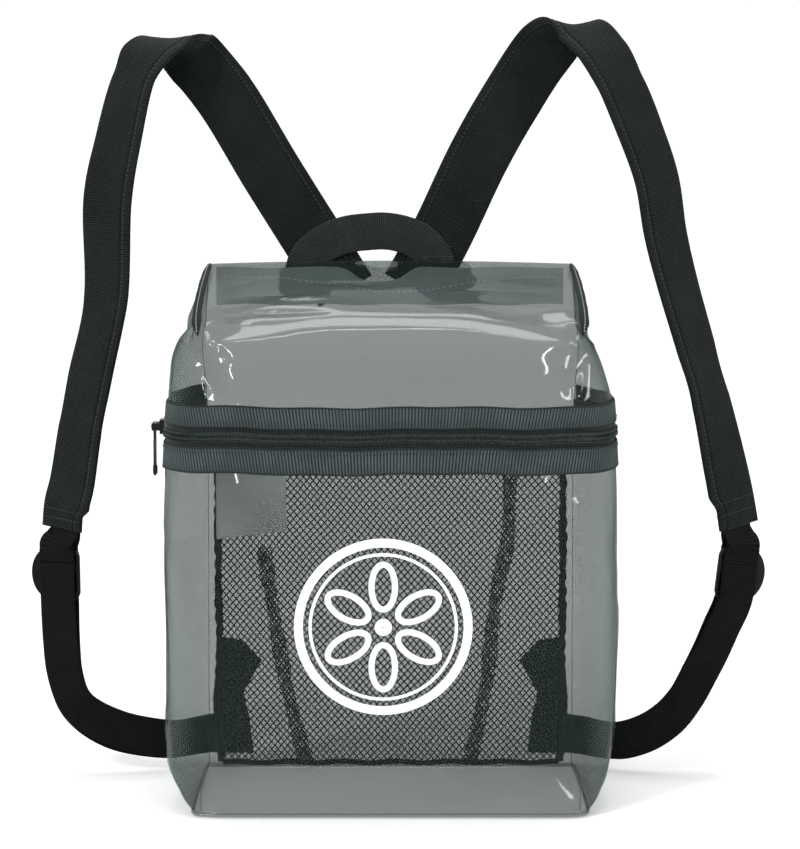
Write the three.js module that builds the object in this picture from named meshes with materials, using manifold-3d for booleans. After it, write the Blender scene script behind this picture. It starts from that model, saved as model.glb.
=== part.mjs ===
// A see-through vinyl backpack with a mesh back lining, a wrap-round zip and two webbing shoulder straps.
// Millimetres. X runs across the bag, -Y is the front, +Z is up. Inside the bag group z = 0 is the
// underside of the floor and y = 0 the middle of the depth.
import * as THREE from 'three';
import { mergeVertices } from 'three/addons/utils/BufferGeometryUtils.js';
import Module from 'manifold-3d';

const wasm = await Module();
wasm.setup();

// Overall sizes of the bag body.
const bodyHeight = 305;
const bodyDepth = 118;
const bodyHalfWidth = 129;
const sheetWall = 1.2;
const floorWall = 1.6;
const gap = 0.3;

// The zip and its two bindings, which run round the front and both sides at one height.
const zipHeight = 214.5;
const zipOpening = 11;
const upperBindingHeight = 12;
const lowerBindingHeight = 14;
const bindingThickness = 1.4;
const bindingLap = 4;
const coilHeight = 5.6;
const coilThickness = 1.9;

// The zip slider and its hanging pull.
const sliderBodyLength = 9;
const sliderBodyHeight = 8.4;
const sliderBodyThickness = 2.6;
const earLength = 1.5;
const earHeight = 4.4;
const pinRadius = 0.8;
const pinStandOff = 3;
const pullEyeRadius = 2.1;
const pullEyeBore = 1.15;
const pullLength = 27;
const pullWidth = 7;
const pullThickness = 1.5;
const pullNeckLength = 6;
const pullNeckShare = 0.8;
const pullKnobRadius = 2.6;
const pullKnobRise = 1.4;
const castingLap = 0.5;
const roundSides = 12;

// The lining, label, band and patches on the back panel.
const liningThickness = 1.2;
const liningTop = 0.603 * bodyHeight;
const liningHalfWidth = 0.806 * bodyHalfWidth;
const pleatDepth = 2.4;
const pleatWidth = 7;
const labelWidth = 42;
const labelHeight = 40;
const labelThickness = 0.8;
const labelDrop = 3;
const bandHeight = 22;
const bandHalfWidth = 0.79 * bodyHalfWidth;
const bandThickness = 1.4;
const bandDrop = 3;
const seamTapeWidth = 5.5;
const seamTapeThickness = 1.2;
const seamTapeStand = 0.5;
const anchorThickness = 1.5;

// The carrying handle and the shoulder straps.
const handleWidth = 22;
const handleThickness = 1.6;
const handleCentre = -0.097 * bodyHalfWidth;
const handleHalfSpan = 0.298 * bodyHalfWidth;
const handleRise = 21.6;
const handleDrop = 3;
const handleLeg = 14;
const handleSquareness = 0.8;
const strapWidth = 36.5;
const strapThickness = 4.4;
const webbingWidth = 22;
const webbingThickness = 1.5;

// The plastic strap sliders. Each has a top, a middle and a bottom bar round two slots.
const buckleThickness = 3;
const buckleOuterRim = 6.3;
const buckleInnerRim = 2.8;
const buckleTopBar = 4.5;
const buckleMiddleBar = 4;
const buckleBottomBar = 4.5;
const buckleTopSlot = 7;
const buckleBottomSlot = 12;
const buckleCorner = 7;
const webbingPlay = 0.6;
const turnSlack = 0.5;
const layerSlack = 0.1;
const tailSeat = 1.3;
const tailBend = 0.4;

const halfDepth = bodyDepth / 2;
const wallFoot = floorWall + gap;
const sideSegments = 8;
const frontSegments = 24;
const backEdgeSegments = 18;
const seamSegments = 12;

// Body sections from the floor to the back top edge. up and crown are shares of the height above the
// wall foot; half and edge are shares of bodyHalfWidth, at the widest place and at the back edge; front
// and mid are shares of halfDepth, the y of the front and of the widest place; square is the roundness
// exponent of the front corners.
const bodyRows = [
  { up: 0, crown: 0, half: 0.862, edge: 0.85, front: -1, mid: -0.1, square: 7 },
  { up: 0.03, crown: 0, half: 0.93, edge: 0.85, front: -1.04, mid: 0, square: 5.5 },
  { up: 0.09, crown: 0, half: 0.982, edge: 0.85, front: -1.07, mid: 0, square: 4.6 },
  { up: 0.3, crown: 0, half: 1, edge: 0.848, front: -1.1, mid: 0, square: 4.2 },
  { up: 0.55, crown: 0, half: 1, edge: 0.845, front: -1.09, mid: 0, square: 4.2 },
  { up: 0.7, crown: 0, half: 0.984, edge: 0.85, front: -1.07, mid: 0, square: 4.2 },
  { up: 0.76, crown: 0, half: 0.972, edge: 0.853, front: -1.05, mid: 0, square: 4.4 },
  { up: 0.825, crown: 0, half: 0.935, edge: 0.866, front: -1.02, mid: 0, square: 5 },
  { up: 0.875, crown: 0.012, half: 0.897, edge: 0.862, front: -0.95, mid: 0.02, square: 7 },
  { up: 0.921, crown: 0.038, half: 0.862, edge: 0.852, front: -0.76, mid: 0.1, square: 22 },
  { up: 0.954, crown: 0.03, half: 0.855, edge: 0.845, front: -0.34, mid: 0.3, square: 45 },
  { up: 0.981, crown: 0.017, half: 0.848, edge: 0.84, front: 0.34, mid: 0.65, square: 60 },
  { up: 1.003, crown: 0.006, half: 0.836, edge: 0.832, front: 0.985, mid: 0.992, square: 60 },
];

// The row of the table where the top's seam tapes begin.
const seamFirstRow = 9;

// Creases pressed into the vinyl, each a line from one place to another. x is a share of bodyHalfWidth,
// up of bodyHeight, and depth and reach are shares of bodyDepth. A crease pulls the wall inward sideways
// by creasePull of its depth.
const creasePull = 0.3;
const creaseSharpness = 3;
const creases = [
  { x: -0.85, up: 0.88, toX: -0.76, toUp: 0.79, depth: 0.022, reach: 0.07 },
  { x: 0.85, up: 0.88, toX: 0.78, toUp: 0.79, depth: 0.022, reach: 0.07 },
  { x: -0.98, up: 0.5, toX: -0.86, toUp: 0.33, depth: 0.018, reach: 0.07 },
  { x: 0.97, up: 0.4, toX: 0.82, toUp: 0.52, depth: 0.014, reach: 0.08 },
  { x: -0.8, up: 0.02, toX: -0.68, toUp: 0.08, depth: 0.018, reach: 0.06 },
  { x: 0.84, up: 0.03, toX: 0.7, toUp: 0.1, depth: 0.018, reach: 0.06 },
  { x: -0.35, up: 0.04, toX: 0.4, toUp: 0.06, depth: 0.01, reach: 0.1 },
];

// Pleats of the lining. x is a share of liningHalfWidth and up of liningTop, top to bottom.
const pleats = [
  { x: -0.73, up: 0.66, toX: -0.68, toUp: 0.45 },
  { x: -0.68, up: 0.45, toX: -0.5, toUp: 0.02 },
  { x: 0.68, up: 0.96, toX: 0.64, toUp: 0.6 },
  { x: 0.64, up: 0.6, toX: 0.47, toUp: 0.02 },
];

// Routes of the shoulder straps from the sewn end over the crest to the pad end. out is a share of
// bodyHalfWidth away from the middle, back of halfDepth, up of bodyHeight; turn and tilt are degrees.
// A sewn place lies against what it is sewn to.
const sewn = null;
const leftStrapRoute = [
  { out: 0.207, back: sewn, up: 0.942, turn: 0, tilt: 0 },
  { out: 0.288, back: sewn, up: 0.998, turn: 0, tilt: 0 },
  { out: 0.543, back: 1.14, up: 1.17, turn: 0, tilt: 0 },
  { out: 0.767, back: 1.2, up: 1.325, turn: 0, tilt: 0 },
  { out: 0.915, back: 1.23, up: 1.398, turn: -4, tilt: 0 },
  { out: 0.998, back: 1.034, up: 1.4246, turn: 4, tilt: 0 },
  { out: 1.093, back: 0.814, up: 1.403, turn: 25, tilt: 0 },
  { out: 1.155, back: 0.746, up: 1.353, turn: 44, tilt: 0 },
  { out: 1.229, back: 0.763, up: 1.236, turn: 40, tilt: 0 },
  { out: 1.281, back: 0.78, up: 1.125, turn: 36, tilt: 0 },
  { out: 1.296, back: 0.797, up: 0.931, turn: 42, tilt: 0 },
  { out: 1.376, back: 0.814, up: 0.774, turn: 42, tilt: 0 },
  { out: 1.423, back: 0.814, up: 0.675, turn: 42, tilt: 0 },
  { out: 1.47, back: 0.814, up: 0.57, turn: 40, tilt: 0 },
  { out: 1.516, back: 0.814, up: 0.482, turn: 38, tilt: 0 },
];
const rightStrapRoute = [
  { out: 0.098, back: sewn, up: 0.947, turn: 0, tilt: 0 },
  { out: 0.229, back: sewn, up: 1.0475, turn: 0, tilt: 0 },
  { out: 0.403, back: 1.14, up: 1.202, turn: 0, tilt: 0 },
  { out: 0.543, back: 1.2, up: 1.306, turn: 0, tilt: 0 },
  { out: 0.713, back: 1.23, up: 1.413, turn: -4, tilt: 0 },
  { out: 0.829, back: 1.034, up: 1.451, turn: 6, tilt: 0 },
  { out: 0.946, back: 0.814, up: 1.41, turn: 26, tilt: 0 },
  { out: 1.035, back: 0.746, up: 1.344, turn: 38, tilt: 0 },
  { out: 1.129, back: 0.763, up: 1.252, turn: 40, tilt: 0 },
  { out: 1.205, back: 0.78, up: 1.161, turn: 42, tilt: 0 },
  { out: 1.248, back: 0.78, up: 1.056, turn: 44, tilt: 0 },
  { out: 1.302, back: 0.797, up: 0.967, turn: 46, tilt: 0 },
  { out: 1.395, back: 0.814, up: 0.836, turn: 48, tilt: 0 },
  { out: 1.465, back: 0.814, up: 0.734, turn: 48, tilt: 0 },
  { out: 1.535, back: 0.814, up: 0.616, turn: 42, tilt: 0 },
  { out: 1.602, back: 0.814, up: 0.487, turn: 38, tilt: 0 },
];

// Routes of the lower webbing from the strap slider's middle bar to the lower corner of the back.
const leftWebbingRoute = [
  { out: 1.527, back: 0.814, up: 0.403, turn: 20, tilt: 0 },
  { out: 1.525, back: 0.814, up: 0.341, turn: 20, tilt: 0 },
  { out: 1.518, back: 0.814, up: 0.262, turn: 20, tilt: 0 },
  { out: 1.502, back: 0.83, up: 0.197, turn: 18, tilt: 10 },
  { out: 1.457, back: 0.83, up: 0.143, turn: 15, tilt: 30 },
  { out: 1.388, back: 0.847, up: 0.113, turn: 10, tilt: 50 },
  { out: 1.279, back: 0.847, up: 0.0885, turn: 0, tilt: 72 },
  { out: 1.163, back: 0.864, up: 0.074, turn: 0, tilt: 82 },
  { out: 1.008, back: 0.95, up: 0.062, turn: 0, tilt: 88 },
  { out: 0.905, back: 1.085, up: 0.062, turn: 0, tilt: 90 },
  { out: 0.806, back: sewn, up: 0.066, turn: 0, tilt: 90 },
  { out: 0.698, back: sewn, up: 0.069, turn: 0, tilt: 90 },
];
const rightWebbingRoute = [
  { out: 1.601, back: 0.814, up: 0.403, turn: 20, tilt: 8 },
  { out: 1.58, back: 0.814, up: 0.341, turn: 20, tilt: 8 },
  { out: 1.527, back: 0.814, up: 0.289, turn: 20, tilt: 14 },
  { out: 1.481, back: 0.83, up: 0.243, turn: 18, tilt: 18 },
  { out: 1.426, back: 0.83, up: 0.197, turn: 15, tilt: 26 },
  { out: 1.364, back: 0.847, up: 0.1475, turn: 12, tilt: 38 },
  { out: 1.287, back: 0.847, up: 0.108, turn: 6, tilt: 56 },
  { out: 1.186, back: 0.847, up: 0.079, turn: 0, tilt: 72 },
  { out: 1.07, back: 0.88, up: 0.062, turn: 0, tilt: 84 },
  { out: 0.985, back: 0.97, up: 0.0595, turn: 0, tilt: 88 },
  { out: 0.905, back: 1.085, up: 0.061, turn: 0, tilt: 90 },
  { out: 0.806, back: sewn, up: 0.064, turn: 0, tilt: 90 },
  { out: 0.698, back: sewn, up: 0.067, turn: 0, tilt: 90 },
];

// Outline of a fabric patch at a lower back corner, in shares of bodyHalfWidth and bodyHeight.
const anchorOutline = [
  { out: 0.825, up: 0.026 },
  { out: 0.64, up: 0.026 },
  { out: 0.66, up: 0.1 },
  { out: 0.685, up: 0.15 },
  { out: 0.6, up: 0.215 },
  { out: 0.69, up: 0.255 },
  { out: 0.8, up: 0.262 },
  { out: 0.832, up: 0.14 },
];

const colours = {
  vinyl: { color: 0x8a9290, roughness: 0.15, metalness: 0, transparent: true, opacity: 0.35 },
  binding: { color: 0x3f4a4a, roughness: 0.8, metalness: 0 },
  webbing: { color: 0x232a29, roughness: 0.85, metalness: 0 },
  lining: { color: 0x15191a, roughness: 0.9, metalness: 0 },
  plastic: { color: 0x0d0f10, roughness: 0.45, metalness: 0 },
  zipMetal: { color: 0x1c1e1f, roughness: 0.4, metalness: 0.6 },
  label: { color: 0xd9dcda, roughness: 0.7, metalness: 0 },
};

const radians = THREE.MathUtils.degToRad;
const lerp = THREE.MathUtils.lerp;

// Geometry helpers.

function signedVolume(points, faces) {
  const crossed = new THREE.Vector3();
  let sum = 0;
  for (const [a, b, c] of faces) {
    crossed.crossVectors(points[b], points[c]);
    sum += points[a].dot(crossed);
  }
  return sum / 6;
}

// A closed body from points and triangles, with its faces turned outward.
function closedBody(points, faces) {
  const turned = signedVolume(points, faces) < 0;
  const index = faces.flatMap(([a, b, c]) => (turned ? [a, c, b] : [a, b, c]));
  const geometry = new THREE.BufferGeometry();
  const position = new Float32Array(points.flatMap((p) => [p.x, p.y, p.z]));
  geometry.setAttribute('position', new THREE.BufferAttribute(position, 3));
  geometry.setIndex(index);
  geometry.computeVertexNormals();
  return geometry;
}

// Joins equal grid points, so that a side of the grid may close to one corner.
function gridSurface(grid) {
  const points = [];
  const seen = new Map();
  const ids = grid.map((row) =>
    row.map((p) => {
      const key = [p.x, p.y, p.z].map((v) => Math.round(v * 1000)).join();
      if (!seen.has(key)) {
        seen.set(key, points.length);
        points.push(p);
      }
      return seen.get(key);
    }),
  );
  const faces = [];
  for (let r = 0; r + 1 < ids.length; r++) {
    for (let c = 0; c + 1 < ids[r].length; c++) {
      const [a, b, d, e] = [ids[r][c], ids[r][c + 1], ids[r + 1][c + 1], ids[r + 1][c]];
      faces.push([a, b, d], [a, d, e]);
    }
  }
  const whole = faces.filter(([a, b, c]) => a !== b && b !== c && c !== a);
  return { points, faces: whole };
}

// A sheet of even thickness that follows a grid, from one distance off it to another.
function sheetBody(grid, near, far) {
  const { points, faces } = gridSurface(grid);
  const normals = points.map(() => new THREE.Vector3());
  const edges = new Map();
  for (const [a, b, c] of faces) {
    const ab = points[b].clone().sub(points[a]);
    const ac = points[c].clone().sub(points[a]);
    const normal = ab.cross(ac);
    for (const i of [a, b, c]) normals[i].add(normal);
    for (const [i, j] of [[a, b], [b, c], [c, a]]) edges.set(`${i},${j}`, [i, j]);
  }
  normals.forEach((n) => n.normalize());
  const count = points.length;
  const shell = points
    .map((p, i) => p.clone().addScaledVector(normals[i], far))
    .concat(points.map((p, i) => p.clone().addScaledVector(normals[i], near)));
  const skin = faces.concat(faces.map(([a, b, c]) => [a + count, c + count, b + count]));
  for (const [i, j] of edges.values()) {
    if (!edges.has(`${j},${i}`)) skin.push([i, i + count, j + count], [i, j + count, j]);
  }
  return closedBody(shell, skin);
}

// A closed body through loops of points, with flat ends.
function loftBody(loops) {
  const sides = loops[0].length;
  const points = loops.flat();
  const faces = [];
  for (let s = 0; s + 1 < loops.length; s++) {
    for (let k = 0; k < sides; k++) {
      const a = s * sides + k;
      const b = s * sides + ((k + 1) % sides);
      faces.push([a, b, b + sides], [a, b + sides, a + sides]);
    }
  }
  const last = (loops.length - 1) * sides;
  for (let k = 1; k + 1 < sides; k++) {
    faces.push([0, k + 1, k], [last, last + k, last + k + 1]);
  }
  return closedBody(points, faces);
}

// A plate in the X-Z plane: its outline extruded along Y between two places.
function uprightPlate(shape, nearY, farY) {
  const geometry = new THREE.ExtrudeGeometry(shape, {
    depth: farY - nearY,
    bevelEnabled: false,
    curveSegments: 6,
  });
  geometry.rotateX(Math.PI / 2);
  geometry.translate(0, farY, 0);
  return geometry;
}

function merged(geometry) {
  const bare = geometry.clone();
  bare.deleteAttribute('normal');
  bare.deleteAttribute('uv');
  return mergeVertices(bare, 1e-4);
}

function solidOf(geometry) {
  const bare = merged(geometry);
  return new wasm.Manifold(
    new wasm.Mesh({
      numProp: 3,
      vertProperties: new Float32Array(bare.attributes.position.array),
      triVerts: new Uint32Array(bare.index.array),
    }),
  );
}

function geometryOf(solid) {
  const mesh = solid.getMesh();
  const geometry = new THREE.BufferGeometry();
  geometry.setAttribute('position', new THREE.BufferAttribute(new Float32Array(mesh.vertProperties), 3));
  geometry.setIndex(new THREE.BufferAttribute(new Uint32Array(mesh.triVerts), 1));
  geometry.computeVertexNormals();
  return geometry;
}

function joined(...geometries) {
  return geometryOf(geometries.map(solidOf).reduce((whole, next) => whole.add(next)));
}

// The body surface.

// A value of a row table at a place between its rows, on a smooth curve through them.
function rowValue(rows, key, place) {
  const i = Math.min(Math.floor(place), rows.length - 2);
  const t = place - i;
  const at = (k) => rows[THREE.MathUtils.clamp(k, 0, rows.length - 1)][key];
  const [a, b, c, d] = [at(i - 1), at(i), at(i + 1), at(i + 2)];
  const rise = 0.5 * (c - a);
  const fall = 0.5 * (d - b);
  const cubic = 2 * b - 2 * c + rise + fall;
  const square = 3 * c - 3 * b - 2 * rise - fall;
  return b + t * (rise + t * (square + t * cubic));
}

function bodySection(place) {
  const value = (key) => rowValue(bodyRows, key, place);
  return {
    height: lerp(wallFoot, bodyHeight, value('up')),
    crown: value('crown') * bodyHeight,
    half: value('half') * bodyHalfWidth,
    edge: value('edge') * bodyHalfWidth,
    front: value('front') * halfDepth,
    mid: value('mid') * halfDepth,
    square: value('square'),
  };
}

// The place in the row table where the body reaches a height, below the roll of the top.
function placeAtHeight(height) {
  const halvings = 40;
  let low = 0;
  let high = bodyRows.length - 1;
  for (let step = 0; step < halvings; step++) {
    const middle = (low + high) / 2;
    if (bodySection(middle).height < height) low = middle;
    else high = middle;
  }
  return (low + high) / 2;
}

// Points at even distances along a line of points.
function evenly(line, segments) {
  const lengths = [0];
  for (let i = 1; i < line.length; i++) lengths.push(lengths[i - 1] + line[i].distanceTo(line[i - 1]));
  const whole = lengths[lengths.length - 1];
  return Array.from({ length: segments + 1 }, (_, k) => {
    const want = (whole * k) / segments;
    const i = Math.max(1, lengths.findIndex((l) => l >= want - 1e-9));
    const step = lengths[i] - lengths[i - 1];
    const share = step > 0 ? (want - lengths[i - 1]) / step : 0;
    return line[i - 1].clone().lerp(line[i], THREE.MathUtils.clamp(share, 0, 1));
  });
}

// The place on a section's right front corner at an angle, 0 at the side and 90 at the front.
function cornerPoint(section, angle) {
  const power = 2 / section.square;
  return new THREE.Vector2(
    section.half * Math.cos(radians(angle)) ** power,
    section.mid - (section.mid - section.front) * Math.sin(radians(angle)) ** power,
  );
}

// Half of a section in plan, from the back edge round the side and corner to the front middle.
function halfOutline(section) {
  const side = [];
  const curveSteps = 24;
  for (let k = 0; k < curveSteps; k++) {
    const share = 1 - k / curveSteps;
    const x = section.half - (section.half - section.edge) * share * share;
    side.push(new THREE.Vector2(x, lerp(section.mid, halfDepth, share)));
  }
  const corner = 45;
  const front = [];
  for (let k = 0; k <= curveSteps; k++) {
    side.push(cornerPoint(section, (corner * k) / curveSteps));
    front.push(cornerPoint(section, corner + (corner * k) / curveSteps));
  }
  front[front.length - 1].x = 0;
  return { side: evenly(side, sideSegments), front: evenly(front, frontSegments / 2) };
}

function distanceToLine(x, z, line) {
  const from = new THREE.Vector3(line.x, 0, line.z);
  const to = new THREE.Vector3(line.toX, 0, line.toZ);
  const nearest = new THREE.Vector3();
  const point = new THREE.Vector3(x, 0, z);
  new THREE.Line3(from, to).closestPointToPoint(point, true, nearest);
  return nearest.distanceTo(point);
}

// How far the creases press the front in at a place.
function creaseDepth(x, z) {
  return creases.reduce((sum, c) => {
    const line = {
      x: c.x * bodyHalfWidth,
      z: c.up * bodyHeight,
      toX: c.toX * bodyHalfWidth,
      toZ: c.toUp * bodyHeight,
    };
    const share = distanceToLine(x, z, line) / (c.reach * bodyDepth);
    return sum + c.depth * bodyDepth * Math.exp(-share * share * creaseSharpness);
  }, 0);
}

// One row of points round the body at a place of the row table, from the left back edge to the right.
function bodyLoop(place) {
  const section = bodySection(place);
  const { side, front } = halfOutline(section);
  const half = side.concat(front.slice(1));
  const cornerX = side[side.length - 1].x;
  const lift = (x) => section.height - section.crown * Math.min(1, (x / cornerX) ** 2);
  const right = half.map((p, i) => {
    const z = i <= sideSegments ? section.height - section.crown : lift(p.x);
    return new THREE.Vector3(p.x, p.y, z);
  });
  const left = right.map((p) => new THREE.Vector3(-p.x, p.y, p.z));
  const loop = left.concat(right.slice(0, -1).reverse());
  return loop.map((p) => {
    const inFront = THREE.MathUtils.smoothstep(-p.y, 0, halfDepth / 2);
    const inward = creaseDepth(p.x, p.z) * inFront;
    return new THREE.Vector3(p.x * (1 - (inward * creasePull) / bodyHalfWidth), p.y + inward, p.z);
  });
}

function bodyGrid(fromPlace, toPlace, segments) {
  return Array.from({ length: segments + 1 }, (_, k) => bodyLoop(lerp(fromPlace, toPlace, k / segments)));
}

// A stretch of the body surface between two heights.
function bodyBand(low, high, segments) {
  const heights = Array.from({ length: segments + 1 }, (_, k) => lerp(low, high, k / segments));
  return heights.map((height) => bodyLoop(placeAtHeight(height)));
}

// The vinyl sheets.

const upperLine = zipHeight + zipOpening / 2;
const lowerLine = zipHeight - zipOpening / 2;
const lowerWallTop = lowerLine - bindingLap;
const hoodFoot = upperLine + bindingLap;

function lowerWall() {
  return sheetBody(bodyBand(wallFoot, lowerWallTop, 11), -sheetWall, 0);
}

function hoodSheet() {
  return sheetBody(bodyGrid(placeAtHeight(hoodFoot), bodyRows.length - 1, 13), -sheetWall, 0);
}

function floorSheet() {
  const outline = new THREE.Shape(bodyLoop(0).map((p) => new THREE.Vector2(p.x, p.y)));
  return new THREE.ExtrudeGeometry(outline, { depth: floorWall, bevelEnabled: false });
}

const backNear = halfDepth + gap;
const backFar = backNear + sheetWall;

function backSheet() {
  const edge = Array.from({ length: backEdgeSegments + 1 }, (_, k) => {
    const section = bodySection(((bodyRows.length - 1) * k) / backEdgeSegments);
    return new THREE.Vector2(section.edge, section.height - section.crown);
  });
  edge[0].y = 0;
  const top = bodyLoop(bodyRows.length - 1).slice(sideSegments + 1, -sideSegments - 1);
  const topLine = top.map((p) => new THREE.Vector2(p.x, p.z)).reverse();
  const left = edge.map((p) => new THREE.Vector2(-p.x, p.y)).reverse();
  return uprightPlate(new THREE.Shape(edge.concat(topLine, left)), backNear, backFar);
}

// The zip.

const bindingFar = gap + bindingThickness;

function upperBinding() {
  return sheetBody(bodyBand(upperLine, upperLine + upperBindingHeight, 1), gap, bindingFar);
}

function lowerBinding() {
  return sheetBody(bodyBand(lowerLine - lowerBindingHeight, lowerLine, 1), gap, bindingFar);
}

function zipTape() {
  return sheetBody(bodyBand(lowerWallTop + gap, hoodFoot - gap, 1), -sheetWall, 0);
}

function zipCoil() {
  const low = zipHeight - coilHeight / 2;
  return sheetBody(bodyBand(low, low + coilHeight, 1), gap, gap + coilThickness);
}

// The left side wall's outermost place at the zip's height.
const zipSide = -bodySection(placeAtHeight(zipHeight)).half;
const sliderNear = gap + coilThickness + gap;
const sliderFar = sliderNear + sliderBodyThickness;
const pinOut = sliderFar + pinStandOff;
const pinPlace = new THREE.Vector3(zipSide - pinOut, 0, zipHeight);
const eyeLength = sliderBodyLength - 2 * earLength - 4 * gap;

// Slider body with two ears and the pin between them. Local X points away from the wall.
function zipSlider() {
  const body = new THREE.BoxGeometry(sliderBodyThickness, sliderBodyLength, sliderBodyHeight);
  body.translate(sliderNear + sliderBodyThickness / 2, 0, 0);
  const ears = [-1, 1].map((side) => {
    const reach = pinOut + pinRadius * 2 - sliderFar + castingLap;
    const ear = new THREE.BoxGeometry(reach, earLength, earHeight);
    ear.translate(sliderFar - castingLap + reach / 2, (side * (sliderBodyLength - earLength)) / 2, 0);
    return ear;
  });
  const pin = new THREE.CylinderGeometry(pinRadius, pinRadius, sliderBodyLength - earLength, roundSides);
  pin.translate(pinOut, 0, 0);
  return joined(body, ...ears, pin);
}

// The pull hangs from the pin by an eye. Its own origin is the pin's axis.
function zipPull() {
  const ring = new THREE.Shape().absarc(0, 0, pullEyeRadius, 0, 2 * Math.PI, false);
  ring.holes.push(new THREE.Path().absarc(0, 0, pullEyeBore, 0, 2 * Math.PI, true));
  const eye = uprightPlate(ring, -eyeLength / 2, eyeLength / 2);
  const tabTop = -(pullEyeRadius + pullEyeBore) / 2;
  const neckFoot = tabTop - pullNeckLength;
  const neck = new THREE.BoxGeometry(pullThickness, eyeLength * pullNeckShare, pullNeckLength);
  neck.translate(0, 0, tabTop - pullNeckLength / 2);
  const tabLength = pullLength - pullNeckLength;
  const tab = new THREE.BoxGeometry(pullThickness, pullWidth, tabLength);
  tab.translate(0, 0, neckFoot + castingLap - tabLength / 2);
  const knobLength = pullThickness + 2 * castingLap;
  const knob = new THREE.CylinderGeometry(pullKnobRadius, pullKnobRadius, knobLength, roundSides);
  knob.rotateZ(Math.PI / 2);
  knob.translate(0, 0, neckFoot - tabLength + pullKnobRadius * pullKnobRise);
  return joined(eye, neck, tab, knob);
}

// The lining, label, band, seam tapes and patches.

const liningFar = halfDepth - gap;
const liningNear = liningFar - liningThickness;

function meshLining() {
  const columns = 24;
  const rows = 8;
  const foot = floorWall + gap * 2;
  const grid = Array.from({ length: rows + 1 }, (_, r) =>
    Array.from({ length: columns + 1 }, (_, c) => {
      const x = lerp(-liningHalfWidth, liningHalfWidth, c / columns);
      const z = lerp(foot, liningTop, r / rows);
      const raise = pleats.reduce((most, p) => {
        const line = {
          x: p.x * liningHalfWidth,
          z: p.up * liningTop,
          toX: p.toX * liningHalfWidth,
          toZ: p.toUp * liningTop,
        };
        const share = distanceToLine(x, z, line) / pleatWidth;
        return Math.max(most, pleatDepth * Math.exp(-share * share));
      }, 0);
      return new THREE.Vector3(x, liningFar - raise, z);
    }),
  );
  return sheetBody(grid, 0, liningThickness);
}

function label() {
  const far = liningNear - gap;
  const top = liningTop - labelDrop;
  const box = new THREE.BoxGeometry(labelWidth, labelThickness, labelHeight);
  box.translate(labelWidth / 2 - liningHalfWidth, far - labelThickness / 2, top - labelHeight / 2);
  return box;
}

function topBand() {
  const box = new THREE.BoxGeometry(2 * bandHalfWidth, bandThickness, bandHeight);
  const top = bodyHeight - bandDrop;
  box.translate(0, halfDepth - bandThickness / 2, top - bandHeight / 2);
  return box;
}

// The corner where the top meets one side, at a place of the row table.
function seamPoint(side, place) {
  const section = bodySection(place);
  const corner = halfOutline(section).side[sideSegments];
  return new THREE.Vector3(side * corner.x, corner.y, section.height - section.crown);
}

// A tape over the seam between the top and one side, from the pointed front corner to the back edge.
function seamTape(side) {
  const lastRow = bodyRows.length - 1;
  const seats = Array.from({ length: seamSegments + 1 }, (_, k) =>
    seamPoint(side, lerp(seamFirstRow, lastRow, k / seamSegments)),
  );
  const stand = gap + seamTapeStand;
  const loops = seats.map((seat, i) => {
    const tangent = seats[Math.min(seamSegments, i + 1)].clone().sub(seats[Math.max(0, i - 1)]).normalize();
    const topNormal = new THREE.Vector3(0, -tangent.z, tangent.y).normalize();
    const out = topNormal.add(new THREE.Vector3(side, 0, 0));
    out.addScaledVector(tangent, -out.dot(tangent)).normalize();
    const along = out.clone().cross(tangent);
    return [[-1, 0], [1, 0], [1, 1], [-1, 1]].map(([u, v]) =>
      seat
        .clone()
        .addScaledVector(along, (u * seamTapeWidth) / 2)
        .addScaledVector(out, stand + v * seamTapeThickness),
    );
  });
  return loftBody(loops);
}

function anchorPatch(side) {
  const outline = new THREE.Shape(
    anchorOutline.map((p) => new THREE.Vector2(side * p.out * bodyHalfWidth, p.up * bodyHeight)),
  );
  return uprightPlate(outline, backFar + gap, patchFar);
}

// Webbing.

// The directions along, across and out of a ribbon at one of its stations.
function ribbonDirections(stations, i) {
  const before = stations[Math.max(0, i - 1)].place;
  const after = stations[Math.min(stations.length - 1, i + 1)].place;
  const tangent = after.clone().sub(before).normalize();
  const lean = stations[i].across;
  const across = lean.clone().addScaledVector(tangent, -lean.dot(tangent)).normalize();
  return { tangent, across, normal: tangent.clone().cross(across) };
}

// A flat ribbon through stations, each a place and the direction across the ribbon.
function ribbonBody(stations, width, thickness) {
  const loops = stations.map((station, i) => {
    const { across, normal } = ribbonDirections(stations, i);
    return [[-1, -1], [1, -1], [1, 1], [-1, 1]].map(([u, v]) =>
      station.place
        .clone()
        .addScaledVector(across, (u * width) / 2)
        .addScaledVector(normal, (v * thickness) / 2),
    );
  });
  return loftBody(loops);
}

// The direction from the outer to the inner edge of a ribbon on the left side.
function acrossOf(turn, tilt) {
  const level = Math.cos(radians(tilt));
  return new THREE.Vector3(
    level * Math.cos(radians(turn)),
    -level * Math.sin(radians(turn)),
    Math.sin(radians(tilt)),
  );
}

// Stations of a route on the left side, smoothed between its rows. seat is the y of its sewn places.
function routeStations(route, segments, seat) {
  const places = route.map((r) => {
    const y = r.back === sewn ? seat : r.back * halfDepth;
    return new THREE.Vector3(-r.out * bodyHalfWidth, y, r.up * bodyHeight);
  });
  const line = new THREE.CatmullRomCurve3(places, false, 'centripetal');
  const across = new THREE.CatmullRomCurve3(route.map((r) => acrossOf(r.turn, r.tilt)), false, 'centripetal');
  return Array.from({ length: segments + 1 }, (_, k) => ({
    place: line.getPoint(k / segments),
    across: across.getPoint(k / segments).normalize(),
  }));
}

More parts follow.
